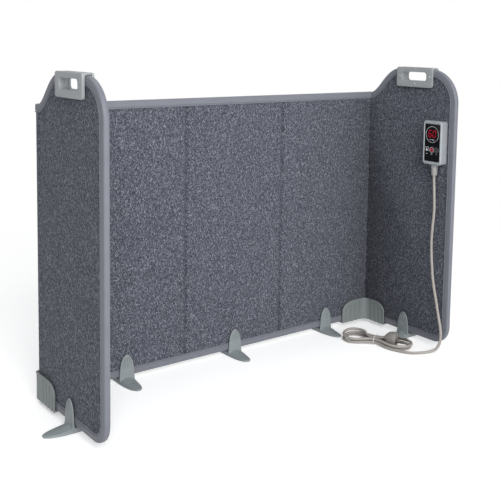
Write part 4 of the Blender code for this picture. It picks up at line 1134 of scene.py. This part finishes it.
def stretched_round(marks):
    """The closed line pulled tight round the marks."""
    halves = []
    for ordered in (sorted(marks), sorted(marks, reverse=True)):
        half = []
        for x, y in ordered:
            while len(half) > 1:
                (ax, ay), (bx, by) = half[-2:]
                if (bx - ax) * (y - ay) - (by - ay) * (x - ax) > 0:
                    break
                half.pop()
            half.append((x, y))
        halves += half[:-1]
    return halves


def tie_loop(line):
    """The wire's line round every stretch of cord at the waist, in the plane across it."""
    back = HANK_PLACE.inverted()
    near = [p for p in (back @ place for place in line) if abs(p.x - WAIST_X) < CORD / 2]
    side = CORD / 2 + GAP + TIE
    marks = [(p.y + a, p.z + b) for p in near for a, b in arc((0, 0), side, 0, 345, 23)]
    loop = []
    for mark in stretched_round(marks):
        if not loop or dist(mark, loop[-1]) > TIE:
            loop.append(mark)
    return [(WAIST_X, a, b) for a, b in loop]


def stepped(radius, height, *steps):
    """Points of a turned profile: tenths of a millimetre out and up from a radius and a height."""
    return [(radius + out / 10000, height + up / 10000) for out, up in steps]


def make_cord():
    body = "right_wing"
    line = cord_line()
    cable = poly_curve("supply_cord_line", line)
    cable.data.bevel_depth = CORD / 2
    cable.data.bevel_resolution = 5
    cable.data.use_fill_caps = True
    cable.data.materials.append(CORD_LOOK)
    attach(cable, body)
    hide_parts("supply_cord", "cord_hank")

    profile = [(0, 0), (0.0042, 0), (0.0046, 0.0003)]
    for i in range(RELIEF_RIBS):
        profile += stepped(0.005 + 0.0016 * (i + 0.5) / RELIEF_RIBS, RELIEF_LENGTH * i / RELIEF_RIBS,
                           (-2, 3), (0, 10), (0.5, 25), (-2, 30), (-7, 33), (-7, 38))
    profile += [(0.0064, RELIEF_LENGTH - 0.0001), (0.0062, RELIEF_LENGTH), (0, RELIEF_LENGTH)]
    work = put(turned(profile, 32), at(RELIEF_X, INNER_Y - CASE_S, RELIEF_LOW))
    relief = piece("strain_relief_boot", work, RELIEF_LOOK, body, ["strain_relief"])

    work = swept(tie_loop(line), cyclic=True, radius=TIE, resolution=4)
    tie = piece("white_wire_tie", put(work, HANK_PLACE), TIE_LOOK, body, ["cord_tie"])

    # Plug: four swelling grip rings, then the round head with its two pins
    profile = [(0, 0), *stepped(PLUG_NECK, 0, (-4, 0), (0, 4), (0, 16))]
    for i in range(4):
        swell = PLUG_NECK + (PLUG_RADIUS - PLUG_NECK) * sin(pi / 2 * (i + 1) / 4)
        profile += stepped(swell, PLUG_LENGTH * (0.1 + 0.14 * i),
                           (-7, -1), (-2, 2), (0, 6), (0, 16), (-2, 20), (-8, 22), (-9, 26))
    profile += stepped(PLUG_RADIUS, PLUG_LENGTH * 0.7, (-6, -8), (0, 0))
    profile += stepped(PLUG_RADIUS, PLUG_LENGTH, (0, -12), (-4, -3), (-11, 0), (-22, 0), (-24, -3), (-30, -3),
                       (-32, 0))
    profile.append((0, PLUG_LENGTH))
    place = HANK_PLACE @ at(NECK_X, TAIL_Y, PLUG_LIFT) @ Matrix.Rotation(pi / 2, 4, "Y")
    plug = piece("mains_plug_body", put(turned(profile, 48), place), PLUG_LOOK, body, ["plug_body"])
    pin = [(0, 0), (0.0024, 0), *stepped(0, PIN_LENGTH, (24, -16), (22, -8), (16, -2), (0, 0))]
    for number, aside in enumerate((-0.0095, 0.0095), 1):
        work = put(turned(pin, 24), place @ at(0, aside, PLUG_LENGTH - PIN_DEPTH))
        piece(f"mains_plug_pin_{number}", work, PIN_LOOK, body, [f"plug_pin_{number}"])


make_cord()

# The boards, films and circuit board stay as the frame has them, in finer materials
CAD_LOOKS = {"_heating_film": FILM_LOOK, "_core_board": BOARD_LOOK, "_circuit_board": CIRCUIT_LOOK}
for name, node in frame["nodes"].items():
    for ending, look in CAD_LOOKS.items():
        if name.endswith(ending):
            node.data.materials.clear()
            node.data.materials.append(look)
